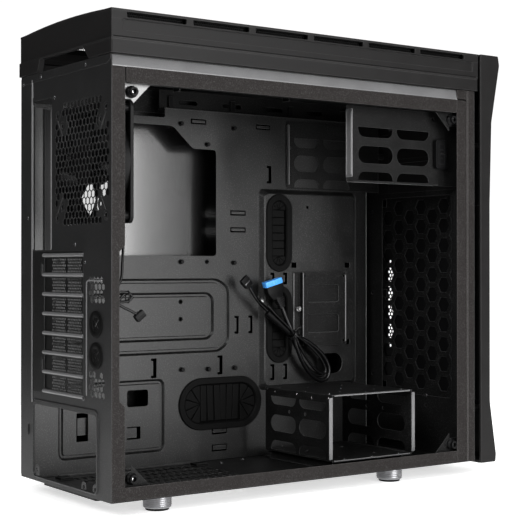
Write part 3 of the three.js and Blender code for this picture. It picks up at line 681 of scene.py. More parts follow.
def rear_face():
    grille_keep = near_any(FAN_HOLES, 11.0)

    def inside(p, q):
        return grille_keep(p, q) and math.dist((p, q), (FAN_W, FAN_H)) < 74

    holes = honeycomb((8, 119), (273, 392), 7.6, 3.95, inside)
    holes += [circle(w, h, 2.4, 12) for w, h in FAN_HOLES]
    for w, h in [(31, 205), (31, 112)]:
        holes += honeycomb((w - 14, w + 15), (h - 10, h + 12), 7.4, 3.6,
                           lambda p, q: math.dist((p, q), (31, 171)) > 19 and math.dist((p, q),
                                                                                        (31, 140)) > 19)
    holes += [circle(31, 171, 12, 24), circle(31, 140, 12, 24)]
    holes += [rbox((62, 146), (h - 7.75, h + 7.75), 1.5) for h in slot_heights()]
    holes.append(rbox((129, 173.5), (245, 403.75), 2))
    holes.append(rbox((29, 171), (6, 82), 3))
    holes += [circle(186, 280, 2.2, 12), circle(76, 250, 1.6, 10), circle(55, 232, 1.6, 10)]
    for sh in (-1, 1):
        middle = (FAN_W - 41.25, FAN_H + sh * 41.25)
        outer = arc(middle, 9.2, math.radians(-50), math.radians(50), 8)
        inner = arc(middle, 6.4, math.radians(50), math.radians(-50), 8)
        holes.append([*outer, *inner])
    return plate("face", (0, SHEET), rbox((0, WIDTH), (0, HEIGHT), 0.8), holes, 0.25)


def slot_heights():
    return [SLOT_FIRST + SLOT_PITCH * i for i in range(SLOT_COUNT)]


def rear_panel():
    wall = rear_face()
    flange_outline = [(0.2, 14.3), (15, 14.3), (15, 92), (9, 98), (9, 242), (15, 248), (15, 421.4),
                      (0.2, 421.4)]
    flange = plate("side", (0, SHEET), flange_outline, [], 0.25)
    far = plate("side", (WIDTH - SHEET, WIDTH), [(0.2, 14.3), (15, 14.3), (15, 405.7), (0.2, 405.7)], [],
                0.25)
    # framed power supply opening
    psu = rbox((25, 173.5), (3.5, 88), 8, 5)
    inner = rbox((30, 170), (6.5, 81.5), 4, 5)
    frame_bead = loft("face",
                      [(psu, 0), (offset_loop(psu, -1.6), -1.3), (offset_loop(inner, 1.4), -1.3),
                       (inner, 0.4)],
                      caps=(False, False))
    # edge of the recess round the connector opening and the slots
    edge = rod(smooth_path([(175.4, 0.1, 102), (175.4, -0.3, 106), (175.4, -0.3, 404), (174.5, 0.1, 408)],
                           6), 0.9, 8)
    io_edge = rod([(173.9, 0.2, 246), (173.9, -0.1, 250), (173.9, -0.1, 400)], 0.5, 8)
    # painted shade: a darker steel sheet over the slot field stands for the shade in the recess round the
    # slots
    field_holes = [rbox((61.6, 146.4), (h - 8.1, h + 8.1), 1.5) for h in slot_heights()]
    field_holes += [rbox((152, 154), (h - 7, h + 7), 0.8) for h in (225, 125)]
    shaded_slot_field = plate("face", (-0.15, 0.05), rbox((58, 175), (95, 243.5), 2), field_holes, 0.05)
    # rounded bars between the slots
    bars = []
    for i in range(SLOT_COUNT + 1):
        h = SLOT_FIRST + SLOT_PITCH * (i - 0.5)
        bars.append(rod(smooth_path([(61.5, 0.3, h), (64, -0.1, h), (142, -0.1, h), (145.5, 0.4, h)], 4),
                        1.82, 10))
    # vent strip edge, fan hole bosses and pressed lines towards the corners
    strip = rod([(50.5, 0.1, 100), (50.5, -0.3, 104), (50.5, -0.3, 212), (47, -0.3, 214), (20, 0.1, 214)],
                0.8, 8)
    bosses = []
    for w, h in FAN_HOLES:
        bosses.append(lathe([(2.5, 0), (2.5, 0.5), (3.4, 0.7), (5.2, 0.1), (5.4, 0)], (w, 0, h), Y, 20))
    lines = []
    for i in range(4):
        (w0, h0), (w1, h1) = FAN_HOLES[i], FAN_HOLES[i + 4]
        lines.append(rod([(w0, 0.1, h0 - math.copysign(4, h0 - FAN_H)),
                          (w1, 0.1, h1 - math.copysign(9, h1 - FAN_H))],
                         0.45, 6))
    # top strip with bevelled ends, as a second folded layer
    strip_outline = [(9, 424), (195, 424), (202, 428), (202, 432.8), (1, 432.8), (1, 428)]
    top_strip = plate("face", (-0.7, 0.1), strip_outline, [], 0.25)
    ears = []
    for (w, h), half in [((164, 12), 6), ((33, 9), 5), ((57, 8.5), 5)]:
        ears.append(plate("face", (0.1, 0.9), rbox((w - half, w + half), (3, h + 5.5), 4.5),
                          [circle(w, h, 2, 12)], 0.2))
    hook = rod(smooth_path([(184, 0.3, 59), (184, -0.5, 56), (184, -0.5, 50), (184, 0.3, 47)], 5), 0.9, 8)
    tabs = [block((148.5, 150), (-0.5, 0.5), (h - 5, h + 5), 0.3) for h in (225, 125)]
    screws = []
    for w, h in [(154, 428), (53, 428.5), (197, 424.5), (123, 403), (76, 250), (55, 232), (57, 96),
                 (186, 280)]:
        screws.append(screw_head(w, -0.6 if h > 424 else 0, h, Y, 2.2, 0.8))
    piece("rear_wall", "case", (STEEL, shaded_slot_field),
          (REAR, wall, frame_bead, *bosses, *lines, top_strip, *ears, hook, *tabs, far),
          (HIGHLIGHT_STEEL, edge, io_edge, *bars, strip), (RIM, flange), (SCREW, *screws),
          replaces=["rear_panel"], slot="chassis_steel")


def slot_covers():
    for i, h in enumerate(slot_heights()):
        holes = honeycomb((66, 130), (-6.6, 6.6), 3.5, 1.35, lambda p, q: abs(p - 98) > 2.5)
        body = plate("face", (1.3, 2.1), rbox((60, 160), (-9.3, 9.3), 1.0), holes, 0.15)
        tab = block((60, 60.8), (1.3, 13), (-9.3, 9.3), 0.25)
        fold = rod([(60.5, 1.7, -9), (60.5, 1.7, 9)], 0.5, 8)
        ear = rivet(154, 2.1, 0, -Y, 2.4, 0.9)
        parts = [moved(part, h=h) for part in (body, tab, fold, ear)]
        for part in (body, tab, fold, ear):
            bpy.data.meshes.remove(part)
        piece(f"expansion_slot_cover_{i + 1}", "case", (STEEL, *parts), replaces=[f"slot_cover_{i + 1}"],
              slot="chassis_steel")


def floor():
    holes = []
    for row in range(18):
        d = 36 + 9.2 * row
        for column in range(6):
            w = 38 + 20.5 * column
            holes.append(rbox((w, w + 16), (d, d + 5.4), 2.7, 3))
    sheet = plate("level", (0, SHEET), rbox((0, WIDTH), (1.3, 453.7), 0.5), holes, 0.2)
    front = plate("level", (0, SHEET), rbox((1.3, 201.7), (453.8, 480.7), 0.3), [], 0.2)
    near = plate("side", (0, SHEET), rbox((1.3, 453.7), (0.1, 14), 0.8), [], 0.25)
    far = plate("side", (WIDTH - SHEET, WIDTH), rbox((1.3, 453.7), (0.1, 14), 0.8), [], 0.25)
    fold = rod([(0.7, 1.6, 0.7), (0.7, 453.4, 0.7)], 0.7, 8)
    rails = [block((w, w + 9), (30, 205), (1.0, 2.2), 0.5) for w in (24, 168)]
    pads = [block((w, w + 14), (d, d + 14), (1.0, 3.2), 0.6) for w in (40, 146) for d in (20, 190)]
    studs = [screw_head(w, d, 1.2, Z, 2.2, 0.9) for w,
             d in [(160, 262), (60, 225), (150, 225), (96, 430), (150, 430)]]
    piece("floor_sheet", "case", (STEEL, sheet, front, *rails, far), (RIM, near, fold), (RUBBER, *pads),
          (SCREW, *studs),
          replaces=["floor_pan"], slot="chassis_steel")


def top():
    holes = []
    for middle in (115, 262, 392):
        holes += honeycomb((44, 158), (middle - 54, middle + 54), 9.5, 4.6,
                           lambda p, q, m=middle: math.dist((p, q), (101, m)) < 58, start=0)
    sheet = plate("level", (HEIGHT - SHEET, HEIGHT), rbox((0, WIDTH), (1.3, 453.7), 0.5), holes, 0.2)
    front = plate("level", (HEIGHT - SHEET, HEIGHT), rbox((1.3, 201.7), (453.8, 480.7), 0.3), [], 0.2)
    rim = plate("side", (0, SHEET), rbox((16.4, 453.7), (406, 421.5), 0.6), [], 0.25)
    far = plate("side", (WIDTH - SHEET, WIDTH), rbox((1.3, 453.7), (406, HEIGHT - 0.1), 0.6), [], 0.25)
    band_profile = [(0.0, 421.0), (0.0, 422.2), (2.6, 432.2), (3.2, 432.6), (3.6, 431.8), (1.4, 421.6)]
    band = loft("face", [(band_profile, 1.3), (band_profile, 469)], sharp=25)
    lip = plate("level", (406.1, 407.1), rbox((0.4, 9), (22, 448), 0.4), [], 0.2)
    rivets = [rivet(9 if i % 2 else 6, 60 + 52 * i, 407.2, -Z, 1.3) for i in range(8)]
    hangers = [block((120, 132), (d, d + 1), (421, 432), 0.3) for d in (150, 300)]
    piece("top_sheet", "case", (STEEL, sheet, front, far, lip, *hangers), (HIGHLIGHT_STEEL, band), (RIM, rim),
          (SCREW, *rivets),
          replaces=["top_panel"], slot="chassis_steel")


def front_wall():
    holes = [rbox((27, 173), (320, 405), 2), rbox((38, 165), (70, 314), 6)]
    holes += [circle(w, h, 2.2, 12) for w in (20, 184) for h in (90, 194, 298)]
    holes += [circle(83, 58, 2.5, 12), circle(120, 58, 2.5, 12)]
    wall = plate("face", (DEPTH - SHEET, DEPTH), rbox((0, WIDTH), (0, HEIGHT), 0.6), holes, 0.25)
    rim = plate("side", (0, SHEET), rbox((454, DEPTH - 0.3), (0, HEIGHT), 0.5), [], 0.25)
    far = plate("side", (WIDTH - SHEET, WIDTH), rbox((454, DEPTH - 0.3), (0, HEIGHT), 0.5), [], 0.25)
    step = block((-0.6, 0.4), (469.5, 471), (0.5, 432), 0.3)
    screws = [screw_head(w, 481, h, Y, 2.4, 0.9) for w, h in [(83, 70), (120, 70), (20, 330), (184, 330)]]
    piece("front_wall_sheet", "case", (STEEL, wall, far), (RIM, rim, step), (SCREW, *screws),
          replaces=["front_panel"], slot="chassis_steel")


# ---------------------------------------------------------------- motherboard tray
GROMMETS = {
    "cable_grommet_upper": ((301.5, 339.5), (221, 315), PLATEAU_W),
    "cable_grommet_lower": ((301.5, 339.5), (111, 205), PLATEAU_W),
    "cable_grommet_side": ((182, 298), (37, 98), TRAY_W),
}
OUTER_GROOVE = [(14, 130), (14, 211), (236, 211), (250, 202), (250, 139), (238, 130)]
INNER_GROOVE = [(24, 145), (24, 195), (222, 195), (228, 190), (228, 150), (222, 145)]
CORNER_GROOVE = [(33, 19.5), (33, 97), (161, 97), (161, 19.5)]
TRAY_TOP = 409.0
TIE_SLOTS = [  # (d range, h range) of the little bridges for cable ties
    ((199, 220), (393, 399)), ((291, 312), (392, 398)), ((254, 276), (288, 294)), ((254, 276), (268, 274)),
    ((228, 249), (31, 39)), ((228, 249), (11, 19)),
    ((146, 153), (101, 123)), ((236, 243), (101, 123)), ((260, 266), (148, 169)), ((280, 286), (148, 169)),
    ((307, 314), (328, 349)),
]
PLATEAU_TIES = [((d - 3, d + 3), h) for d in (311, 330) for h in ((206, 220), (91, 110))]
BOSSES = [(185, 392), (258, 391), (221, 370), (185, 233), (221, 233), (258, 232), (185, 187), (185, 167),
          (186, 109), (222, 108), (259, 108), (30, 392), (30, 233), (30, 109)]


def tray():
    base = rbox((294, 444), (79, 321), 8, 5)
    raised = rbox((300, 438), (85, 315), 6, 5)

    def grommet_hole(d, h):
        return rbox((d[0] + 3, d[1] - 3), (h[0] + 3, h[1] - 3), 99, 8)

    outline = [(2, 1.3), (462, 1.3), (462, TRAY_TOP), (164, TRAY_TOP), (164, 398), (2, 398)]
    cooler = rounded_corners([(40, 389), (175, 389), (202, 364), (234, 364), (234, 240), (40, 240)], 4)
    grooves = [rounded_corners(OUTER_GROOVE, 6), rounded_corners(INNER_GROOVE, 5),
               rounded_corners(CORNER_GROOVE, 6)]
    holes = [cooler, base, rbox((115, 142), (70, 88.5), 3), rbox((115, 132), (33.5, 47.5), 0.6),
             rbox((52, 66), (36, 67), 0.6), grommet_hole(*GROMMETS["cable_grommet_side"][:2])]
    holes += [rbox(d, h, 0.6) for d, h in TIE_SLOTS]
    half = 2.6
    for loop in grooves:
        holes += [offset_loop(loop, half), offset_loop(loop, -half)]
    holes += [circle(d, h, 1.7, 10) for d, h in BOSSES]
    sheet = plate("side", (TRAY_W, TRAY_W + SHEET), rounded_corners(outline, 2), holes, 0.3)
    troughs = [ridge("side", loop, 2 * half, 2.6, TRAY_W) for loop in grooves]
    top_holes = [grommet_hole(*GROMMETS[n][:2]) for n in ("cable_grommet_upper", "cable_grommet_lower")]
    top_holes += [rbox((378, 418), (95, 120), 12), rbox((339.5, 347), (226, 232.5), 0.5),
                  rbox((422.5, 430), (226, 232.5), 0.5), rbox((422.5, 430), (130, 136.5), 0.5),
                  circle(364, 300, 1.8, 10)]
    top_holes += [rbox(d, h, 0.6) for d, h in PLATEAU_TIES]
    top_face = plate("side", (PLATEAU_W, PLATEAU_W + SHEET), raised, top_holes, 0.3)
    wall = loft("side", [(base, TRAY_W), (offset_loop(base, -1.2), TRAY_W - 0.6),
                         (offset_loop(raised, 1.0), PLATEAU_W + 0.5),
                         (raised, PLATEAU_W + 0.05), (raised, PLATEAU_W + 0.9),
                         (offset_loop(base, -0.6), TRAY_W + SHEET)],
                caps=(False, False), sharp=20)
    bridges = []
    for d, h in TIE_SLOTS:
        wide = d[1] - d[0] > h[1] - h[0]
        if wide:
            bridges.append(block((TRAY_W + 1.4, TRAY_W + 2.2), (d[0] + 3, d[1] - 1), (h[0] + 2, h[1] - 1.6),
                                 0.3))
        else:
            bridges.append(block((TRAY_W + 1.4, TRAY_W + 2.2), (d[0] - 1, d[0] + 3), (h[0] + 3, h[1] - 3),
                                 0.3))
    for d, h in PLATEAU_TIES:
        bridges.append(block((PLATEAU_W + 1.4, PLATEAU_W + 2.2), (d[0] - 1, d[0] + 3), (h[0] + 3, h[1] - 3),
                             0.3))
    tabs = [block((178, 179), (55.5, 66.5), (42.5, 61), 0.3),
            block((178, 179), (112, 129), (35, 45.5), 0.3)]
    boss_profile = [(1.7, 0.4), (1.7, -0.9), (2.2, -1.1), (2.7, -0.6), (2.9, 0.1), (2.9, 0.4)]
    rim_ring = [lathe(boss_profile, (TRAY_W, d, h), X, 16) for d, h in BOSSES]
    edge = block((174, 180), (461.2, 462), (2, TRAY_TOP - 1), 0.3)
    fold = block((171.6, 173.9), (13, 19), (240, 396), 0.5)
    shelf = block((174.2, 188), (164, 462), (TRAY_TOP - 0.9, TRAY_TOP), 0.3)
    rail = plate("side", (187, 188), rbox((164, 462), (TRAY_TOP - 0.5, 431.7), 0.6),
                 [rbox((d, d + 26), (416, 421), 2.5) for d in range(190, 440, 62)], 0.3)
    clips = [block((184, 187), (d, d + 5), (412, 424), 0.8) for d in (176, 262, 348, 430)]
    piece("board_tray", "case", (INNER, sheet, *troughs, top_face, wall, *bridges, *tabs), (HIGHLIGHT_STEEL, edge),
          (STEEL, shelf, rail), (BLACK, fold, *clips, *rim_ring), replaces=["motherboard_tray"],
          slot="inner_steel")
    studs = []
    for d, h in [(185, 392), (221, 370), (258, 391), (185, 233), (258, 232), (222, 108), (259, 108),
                 (186, 109)]:
        hexed = loft("side", [(hexagon(d, h, 2.6), TRAY_W - 1), (hexagon(d, h, 2.6), TRAY_W - 4.4),
                              (hexagon(d, h, 2.3), TRAY_W - 4.8)])
        studs.append(hexed)
    piece("board_standoffs", "case", (BLACK, *studs), slot="screw_metal")


def grommets():
    for name, (d, h, face) in GROMMETS.items():
        front = face - 0.3
        upright = h[1] - h[0] > d[1] - d[0]
        radius = min(d[1] - d[0], h[1] - h[0]) / 2
        inset = 9.0

        def ring(shrink, depth):
            return (rbox((d[0] + shrink, d[1] - shrink), (h[0] + shrink, h[1] - shrink), radius - shrink,
                         8), depth)

        lip = loft("side", [ring(3.3, face + 1.2), ring(1.0, face + 2.0), ring(0.6, face + 1.3),
                            ring(3.2, face + 0.9),
                            ring(3.2, front), ring(0, front), ring(0.2, front - 1.2),
                            ring(1.2, front - 2.0),
                            ring(inset - 2.2, front - 2.0), ring(inset - 0.8, front - 1.2),
                            ring(inset, front),
                            ring(inset, face + 1.2), ring(3.3, face + 1.2)], caps=(False, False), sharp=40)
        # painted shade: a dark sheet behind the flaps stands for the shade inside the opening
        shade_sheet = plate("side", (front + 2.7, front + 3.1),
                        rbox((d[0] + 7.5, d[1] - 7.5), (h[0] + 7.5, h[1] - 7.5), radius - 7.5, 8), [], 0.1)
        flaps = []
        d_in, h_in = (d[0] + inset, d[1] - inset), (h[0] + inset, h[1] - inset)
        mid_d, mid_h = (d[0] + d[1]) / 2, (h[0] + h[1]) / 2
        reach = radius - inset
        long = (h_in if upright else d_in)
        straight = (long[0] + reach, long[1] - reach)
        count = 6
        step = (straight[1] - straight[0]) / count
        lean = 0.0 if upright else 1.6
        for i in range(count):
            a0, a1 = straight[0] + step * i + 0.9, straight[0] + step * (i + 1) - 0.9
            depth = front + 1.6 + 0.5 * (i % 2)
            if upright:
                shape = [(mid_d - reach, a0), (mid_d + reach - 1.4, a0), (mid_d + reach - 1.4, a1),
                         (mid_d - reach, a1)]
            else:
                shape = [(a0 + lean * math.sin(i), mid_h - reach + 1.8),
                         (a1 + lean * math.sin(i), mid_h - reach + 1.8),
                         (a1, mid_h + reach), (a0, mid_h + reach)]
            flaps.append(plate("side", (depth, depth + 0.9), shape, [], 0.25))
        for end in (0, 1):
            centre = (mid_d, straight[end]) if upright else (straight[end], mid_h)
            base_angle = (math.pi if upright else math.pi / 2) if end == 0 else (0
                if upright else -math.pi / 2)
            for k in range(5):
                t0 = base_angle + math.pi * (k + 0.07) / 5
                t1 = base_angle + math.pi * (k + 0.93) / 5
                wedge = [(centre[0] + 1.6 * math.cos((t0 + t1) / 2),
                          centre[1] + 1.6 * math.sin((t0 + t1) / 2)),
                         *arc(centre, reach, t0, t1, 4)]
                flaps.append(plate("side", (front + 1.2, front + 2.0), wedge, [], 0.2))
        piece(name.replace("cable_", "pass_through_"), "case", (RUBBER, lip, *flaps), (SHADE_BLACK, shade_sheet),
              replaces=[name],
              slot="rubber_black")
    for i, h in enumerate((171, 140)):
        low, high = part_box(f"hose_grommet_{i + 1}")
        w_mid = ((low.x + high.x) / 2 - rear_low.x) / MM
        ring = lathe([(11.4, 1.3), (13.4, 1.3), (13.4, 2.0), (12.6, 2.5), (7, 2.4), (6.6, 1.2), (6.6, 0.4),
                      (7.4, -0.9), (9.0, -1.4), (12.4, -1.5), (13.3, -1.1), (13.4, -0.4), (11.6, -0.3),
                      (11.4, 1.3)],
                     (w_mid, 0, h), -Y, 32)
        petals = []
        for k in range(4):
            t0 = math.radians(45 + 90 * k) + 0.10
            t1 = math.radians(45 + 90 * (k + 1)) - 0.10
            wedge = [(w_mid + 0.7 * math.cos((t0 + t1) / 2), h + 0.7 * math.sin((t0 + t1) / 2)),
                     *arc((w_mid, h), 7.0, t0, t1, 6)]
            petals.append(plate("face", (-0.2, 0.7), wedge, [], 0.2))
        piece(f"hose_pass_through_{i + 1}", "case", (RUBBER, ring, *petals),
              replaces=[f"hose_grommet_{i + 1}"],
              slot="rubber_black")


# ---------------------------------------------------------------- rear fan
BLADES = 7
BLADE_ROOT, BLADE_TIP = 19.0, 55.8


def fan():
    half, bore = 60.0, 58.0
    d0, d1 = 1.3, 26.3
    corner_holes = [(FAN_W + sx * 52.5, FAN_H + sh * 52.5) for sx in (-1, 1) for sh in (-1, 1)]
    outline = rbox((FAN_W - half, FAN_W + half), (FAN_H - half, FAN_H + half), 6, 5)
    bore_loop = circle(FAN_W, FAN_H, bore, 64)
    flanges = [plate("face", span, outline, [bore_loop, *[circle(w, h, 2.2, 12) for w, h in corner_holes]],
                     0.4)
               for span in ((d0, d0 + 3.6), (d1 - 3.6, d1))]
    barrel = lathe([(bore - 0.01, d0 + 1), (bore - 0.01, d1 - 1), (bore + 1.6, d1 - 1),
                    (bore + 1.6, d0 + 1),
                    (bore - 0.01, d0 + 1)], (FAN_W, 0, FAN_H), -Y, 64)
    posts = [lathe([(0.1, d0 + 3), (4.6, d0 + 3), (4.6, d1 - 3), (0.1, d1 - 3)], (w, 0, h), -Y, 14) for w,
             h in corner_holes]
    hub = lathe([(0, d0), (19.2, d0), (20, d0 + 0.6), (20, d0 + 2.5), (0, d0 + 2.5)], (FAN_W, 0, FAN_H), -Y,
                36)
    struts = []
    for k in range(4):
        t = math.radians(20 + 90 * k)
        a = (FAN_W + 19 * math.cos(t), d0 + 1.3, FAN_H + 19 * math.sin(t))
        b = (FAN_W + 59 * math.cos(t), d0 + 1.3, FAN_H + 59 * math.sin(t))
        struts.append(rod([a, b], 1.25, 10))
    piece("exhaust_fan_housing", "case", (BLACK, *flanges, barrel, *posts, hub, *struts),
          replaces=["rear_fan_frame"],
          slot="black_plastic")
    # rotor: a domed hub with swept, twisted blades
    hub_from, hub_to = d0 + 3.1, d1 - 1
    rotor_hub = lathe([(0, hub_from), (18.8, hub_from), (20, hub_from + 0.8), (20, hub_to - 2),
                       (18.6, hub_to - 0.6),
                       (15, hub_to), (0, hub_to)], (FAN_W, 0, FAN_H), -Y, 40)
    cap = lathe([(0, hub_to + 0.25), (13, hub_to + 0.2), (13.4, hub_to - 0.5)], (FAN_W, 0, FAN_H), -Y, 36)
    blades = []
    radial, chord = 8, 6
    for k in range(BLADES):
        bm = bmesh.new()
        sides = []
        for lift in (0.55, -0.55):
            grid = []
            for i in range(radial + 1):
                r = BLADE_ROOT + (BLADE_TIP - BLADE_ROOT) * i / radial
                span = math.radians(50 - 12 * i / radial)
                pitch_depth = 17.5 - 5.0 * i / radial
                row = []
                for j in range(chord + 1):
                    s = j / chord - 0.5
                    t = 2 * math.pi * k / BLADES + span * s + math.radians(16) * i / radial
                    bulge = 1.6 * (1 - 4 * s * s)
                    d = (hub_from + hub_to) / 2 + pitch_depth * s + bulge + lift
                    row.append(bm.verts.new(at(FAN_W + r * math.cos(t), d, FAN_H + r * math.sin(t))))
                grid.append(row)
            sides.append(grid)
        for grid in sides:
            for i in range(radial):
                for j in range(chord):
                    bm.faces.new((grid[i][j], grid[i + 1][j], grid[i + 1][j + 1], grid[i][j + 1]))
        rim = lambda g: [*[g[i][0] for i in range(radial + 1)],
                         *[g[radial][j] for j in range(1, chord + 1)],
                         *[g[i][chord] for i in range(radial - 1, -1, -1)],
                         *[g[0][j] for j in range(chord - 1, 0, -1)]]
        a, b = rim(sides[0]), rim(sides[1])
        for i in range(len(a)):
            j = (i + 1) % len(a)
            bm.faces.new((a[i], a[j], b[j], b[i]))
        blades.append(tidy(bm, 50))
    piece("exhaust_fan_rotor", "fan_rotor", (BLACK, rotor_hub, *blades), (PANEL, cap),
          replaces=["rear_fan_rotor"],
          slot="black_plastic")


# ---------------------------------------------------------------- cages and trays inside
def half_window(a, b, flat_top, radius=9.0):
    """A window whose one long edge is flat and the other has round corners."""
    r = min(radius, b[1] - b[0])
    quarter = math.pi / 2
    if flat_top:
        return [(a[1], b[1]), (a[0], b[1]), *arc((a[0] + r, b[0] + r), r, math.pi, 1.5 * math.pi, 5),
                *arc((a[1] - r, b[0] + r), r, 1.5 * math.pi, 2 * math.pi, 5)]
    return [(a[0], b[0]), (a[1], b[0]), *arc((a[1] - r, b[1] - r), r, 0, quarter, 5),
            *arc((a[0] + r, b[1] - r), r, quarter, math.pi, 5)]


def bay_windows(columns, rows):
    top_row, middle_row, bottom_row = rows
    holes = []
    for a in columns:
        holes.append(half_window(a, top_row, True))
        holes.append(rbox(a, middle_row, 99, 8))
        holes.append(half_window(a, bottom_row, False))
    return holes


BAY_ROWS = ((373.5, 384.5), (344, 363.5), (324.5, 334.5))


def bays():
    near = plate("side", (26, 27), rbox((310.3, 480.7), (322, 408), 1), [
        *bay_windows(((327.4, 378.3), (384.5, 433.4)), BAY_ROWS), circle(317, 398, 1.5, 10),
        circle(440, 400, 1.5, 10)])
    lip = plate("face", (310, 311), rbox((16, 26.9), (327, 403), 1), [], 0.3)
    foot = plate("level", (322, 323), rbox((17.5, 26.9), (312, 441), 0.6),
                 [circle(22, d, 1.3, 10) for d in (322, 380, 436)], 0.3)
    ribs = [rod([(w, 309.8, 330), (w, 309.8, 400)], 0.45, 6) for w in (17.2, 25.6)]
    low_edge = rod([(26.3, 312, 322.3), (26.3, 440, 322.3)], 0.5, 6)
    piece("bay_cage_near", "case", (STEEL, near, foot), (HIGHLIGHT_STEEL, lip, *ribs, low_edge),
          replaces=["bay_plate_near"], slot="chassis_steel")
    far = plate("side", (172.6, 173.6), rbox((336.3, 480.7), (322, 405), 1), [
        *bay_windows(((347, 385), (392, 433)), BAY_ROWS), circle(341, 372, 1.8, 10),
        circle(341, 340, 1.8, 10)])
    far_lip = plate("face", (336, 337), rbox((168.6, 173.5), (327, 400), 1), [], 0.3)
    piece("bay_cage_far", "case", (STEEL, far), (HIGHLIGHT_STEEL, far_lip), replaces=["bay_plate_far"],
          slot="chassis_steel")
    (w0, w1), (d0, d1), (h0, h1) = case_box("bay_latch")
    shell = bar("side", rbox((d0, d1), (h0, h1), 3), (w0, w1), 0.9)
    # painted shade: the inside of the latch's hollow is in the darker black
    hollow = loft("side", [(rbox((d0 + 4, d1 - 4), (h0 + 5, h1 - 5), 2), w0 - 0.02),
                           (rbox((d0 + 5, d1 - 5), (h0 + 6, h1 - 6), 2), w0 + 1.6)], caps=(False, True))
    grips = [block((w0 + 0.2, w0 + 1.2), (d0 + 6, d1 - 6), (h - 0.6, h + 0.6), 0.3)
             for h in (h0 + 12, h0 + 17, h0 + 22)]
    mark = block((w0 - 0.05, w0 + 0.4), (d0 + 8, d1 - 3), (h1 - 16.6, h1 - 15.6), 0.15)
    piece("bay_slide_latch", "bay_latch", (BLACK, shell, *grips), (SHADE_BLACK, hollow), (NICKEL, mark),
          replaces=["bay_latch"], slot="black_plastic")


CAGE_ROWS = ((67, 76.5), (36, 55), (14.5, 25.2))


def drive_cage():
    w, d, h = (22, 149), (287, 404), (12, 86)
    columns = ((33.5, 82.5), (89.4, 137.5))
    ends = []
    for d0 in (d[0], d[1] - 1):
        ends.append(plate("face", (d0, d0 + 1), rbox(w, (h[0] + 0.4, h[1] - 0.4), 1),
                          [*bay_windows(columns, CAGE_ROWS), circle(102, 60.6, 2, 10),
                           circle(72, 60.6, 2, 10)]))
    sheets = []
    for h0 in (h[0], h[1] - 1):
        sheets.append(plate("level", (h0, h0 + 1), rbox(w, (d[0] + 0.4, d[1] - 0.4), 1),
                            [circle(a, b, 1.8, 10) for a in (50, 110) for b in (320, 371)]))
    folds = [rod([(w[0] + 0.5, d0, h0), (w[1] - 0.5, d0, h0)], 0.6, 8) for d0 in (d[0] + 0.6, d[1] - 0.6)
             for h0 in (h[0] + 0.6, h[1] - 0.6)]
    lips = [plate("side", (w[0], w[0] + 1), rbox(span, (h[0] + 3, h[1] - 3), 0.8), [], 0.3)
            for span in ((d[0] - 4, d[0] + 1), (d[1] - 1, d[1] + 4))]
    edges = [plate("side", (w[0], w[0] + 1), rbox((d[0] + 3, d[1] - 3), span, 0.5), [], 0.25)
             for span in ((h[0], h[0] + 1.4), (h[1] - 1.6, h[1]))]
    legs = [block((w[0] + 10, w[1]), (b, b + 1), (1.3, h[0] + 0.5), 0.25) for b in (d[0] + 8, d[1] - 9)]
    ear = plate("level", (1.3, 3.3), rbox((w[1] - 1, w[1] + 15), (d[0] + 8, d[0] + 24), 5, 4), [], 0.4)
    rivets = [rivet(a, b, h[1], Z, 1.3, 0.5) for a in (35, 80, 125) for b in (293, 345, 398)]
    rivets += [rivet(a, b, h[0] + 1, Z, 1.3, 0.5) for a in (30, 60, 100) for b in (310, 350, 390)]
    rivets += [rivet(a, d[0], b, Y, 1.2, 0.4) for a,
               b in ((145, 84), (130, 82), (88, 82), (30, 82), (60, 80), (115, 20))]
    piece("drive_cage_shell", "case", (STEEL, *ends, *sheets, *folds, *legs, ear), (HIGHLIGHT_STEEL, *lips, *edges),
          (NICKEL, *rivets),
          replaces=["drive_cage"], slot="chassis_steel")
    knurled_screw("cage_thumbscrew_head", "cage_thumbscrew", (157, 303, 3.6), Z, 4.5, 7,
                  "drive_cage_thumbscrew", SCREW,
                  "chassis_steel")


def knurled_screw(name, body, origin, axis, radius, length, node, finish, slot):
    """A thumbscrew head: knurled grip and dished top."""
    steps = 48
    turn = Vector((0, 0, 1)).rotation_difference(axis).to_matrix()
    base = at(*origin)
    bm = bmesh.new()
    rows = []
    for r, t, knurl in [(0.5, 0, 0), (radius * 0.8, 0, 0), (radius * 0.8, 0.9, 0), (radius * 0.93, 1.2, 0),
                        (radius, 1.7, 1),
                        (radius, length - 1.1, 1), (radius * 0.93, length - 0.4, 0),
                        (radius * 0.8, length, 0),
                        (radius * 0.6, length, 0), (radius * 0.5, length - 0.8, 0), (0.3, length - 0.9, 0)]:
        row = []
        for i in range(steps):
            rr = r - (0.28 if knurl and i % 2 else 0)
            a = 2 * math.pi * i / steps
            row.append(bm.verts.new(base + turn @ Vector((rr * math.cos(a) * MM, rr * math.sin(a) * MM,
                                                          t * MM))))
        rows.append(row)
    for low, high in zip(rows, rows[1:]):
        for i in range(steps):
            bm.faces.new((low[i], low[(i + 1) % steps], high[(i + 1) % steps], high[i]))
    bm.faces.new(rows[0])
    bm.faces.new(rows[-1])
    piece(name, body, (finish, tidy(bm, 25)), replaces=[node], slot=slot)


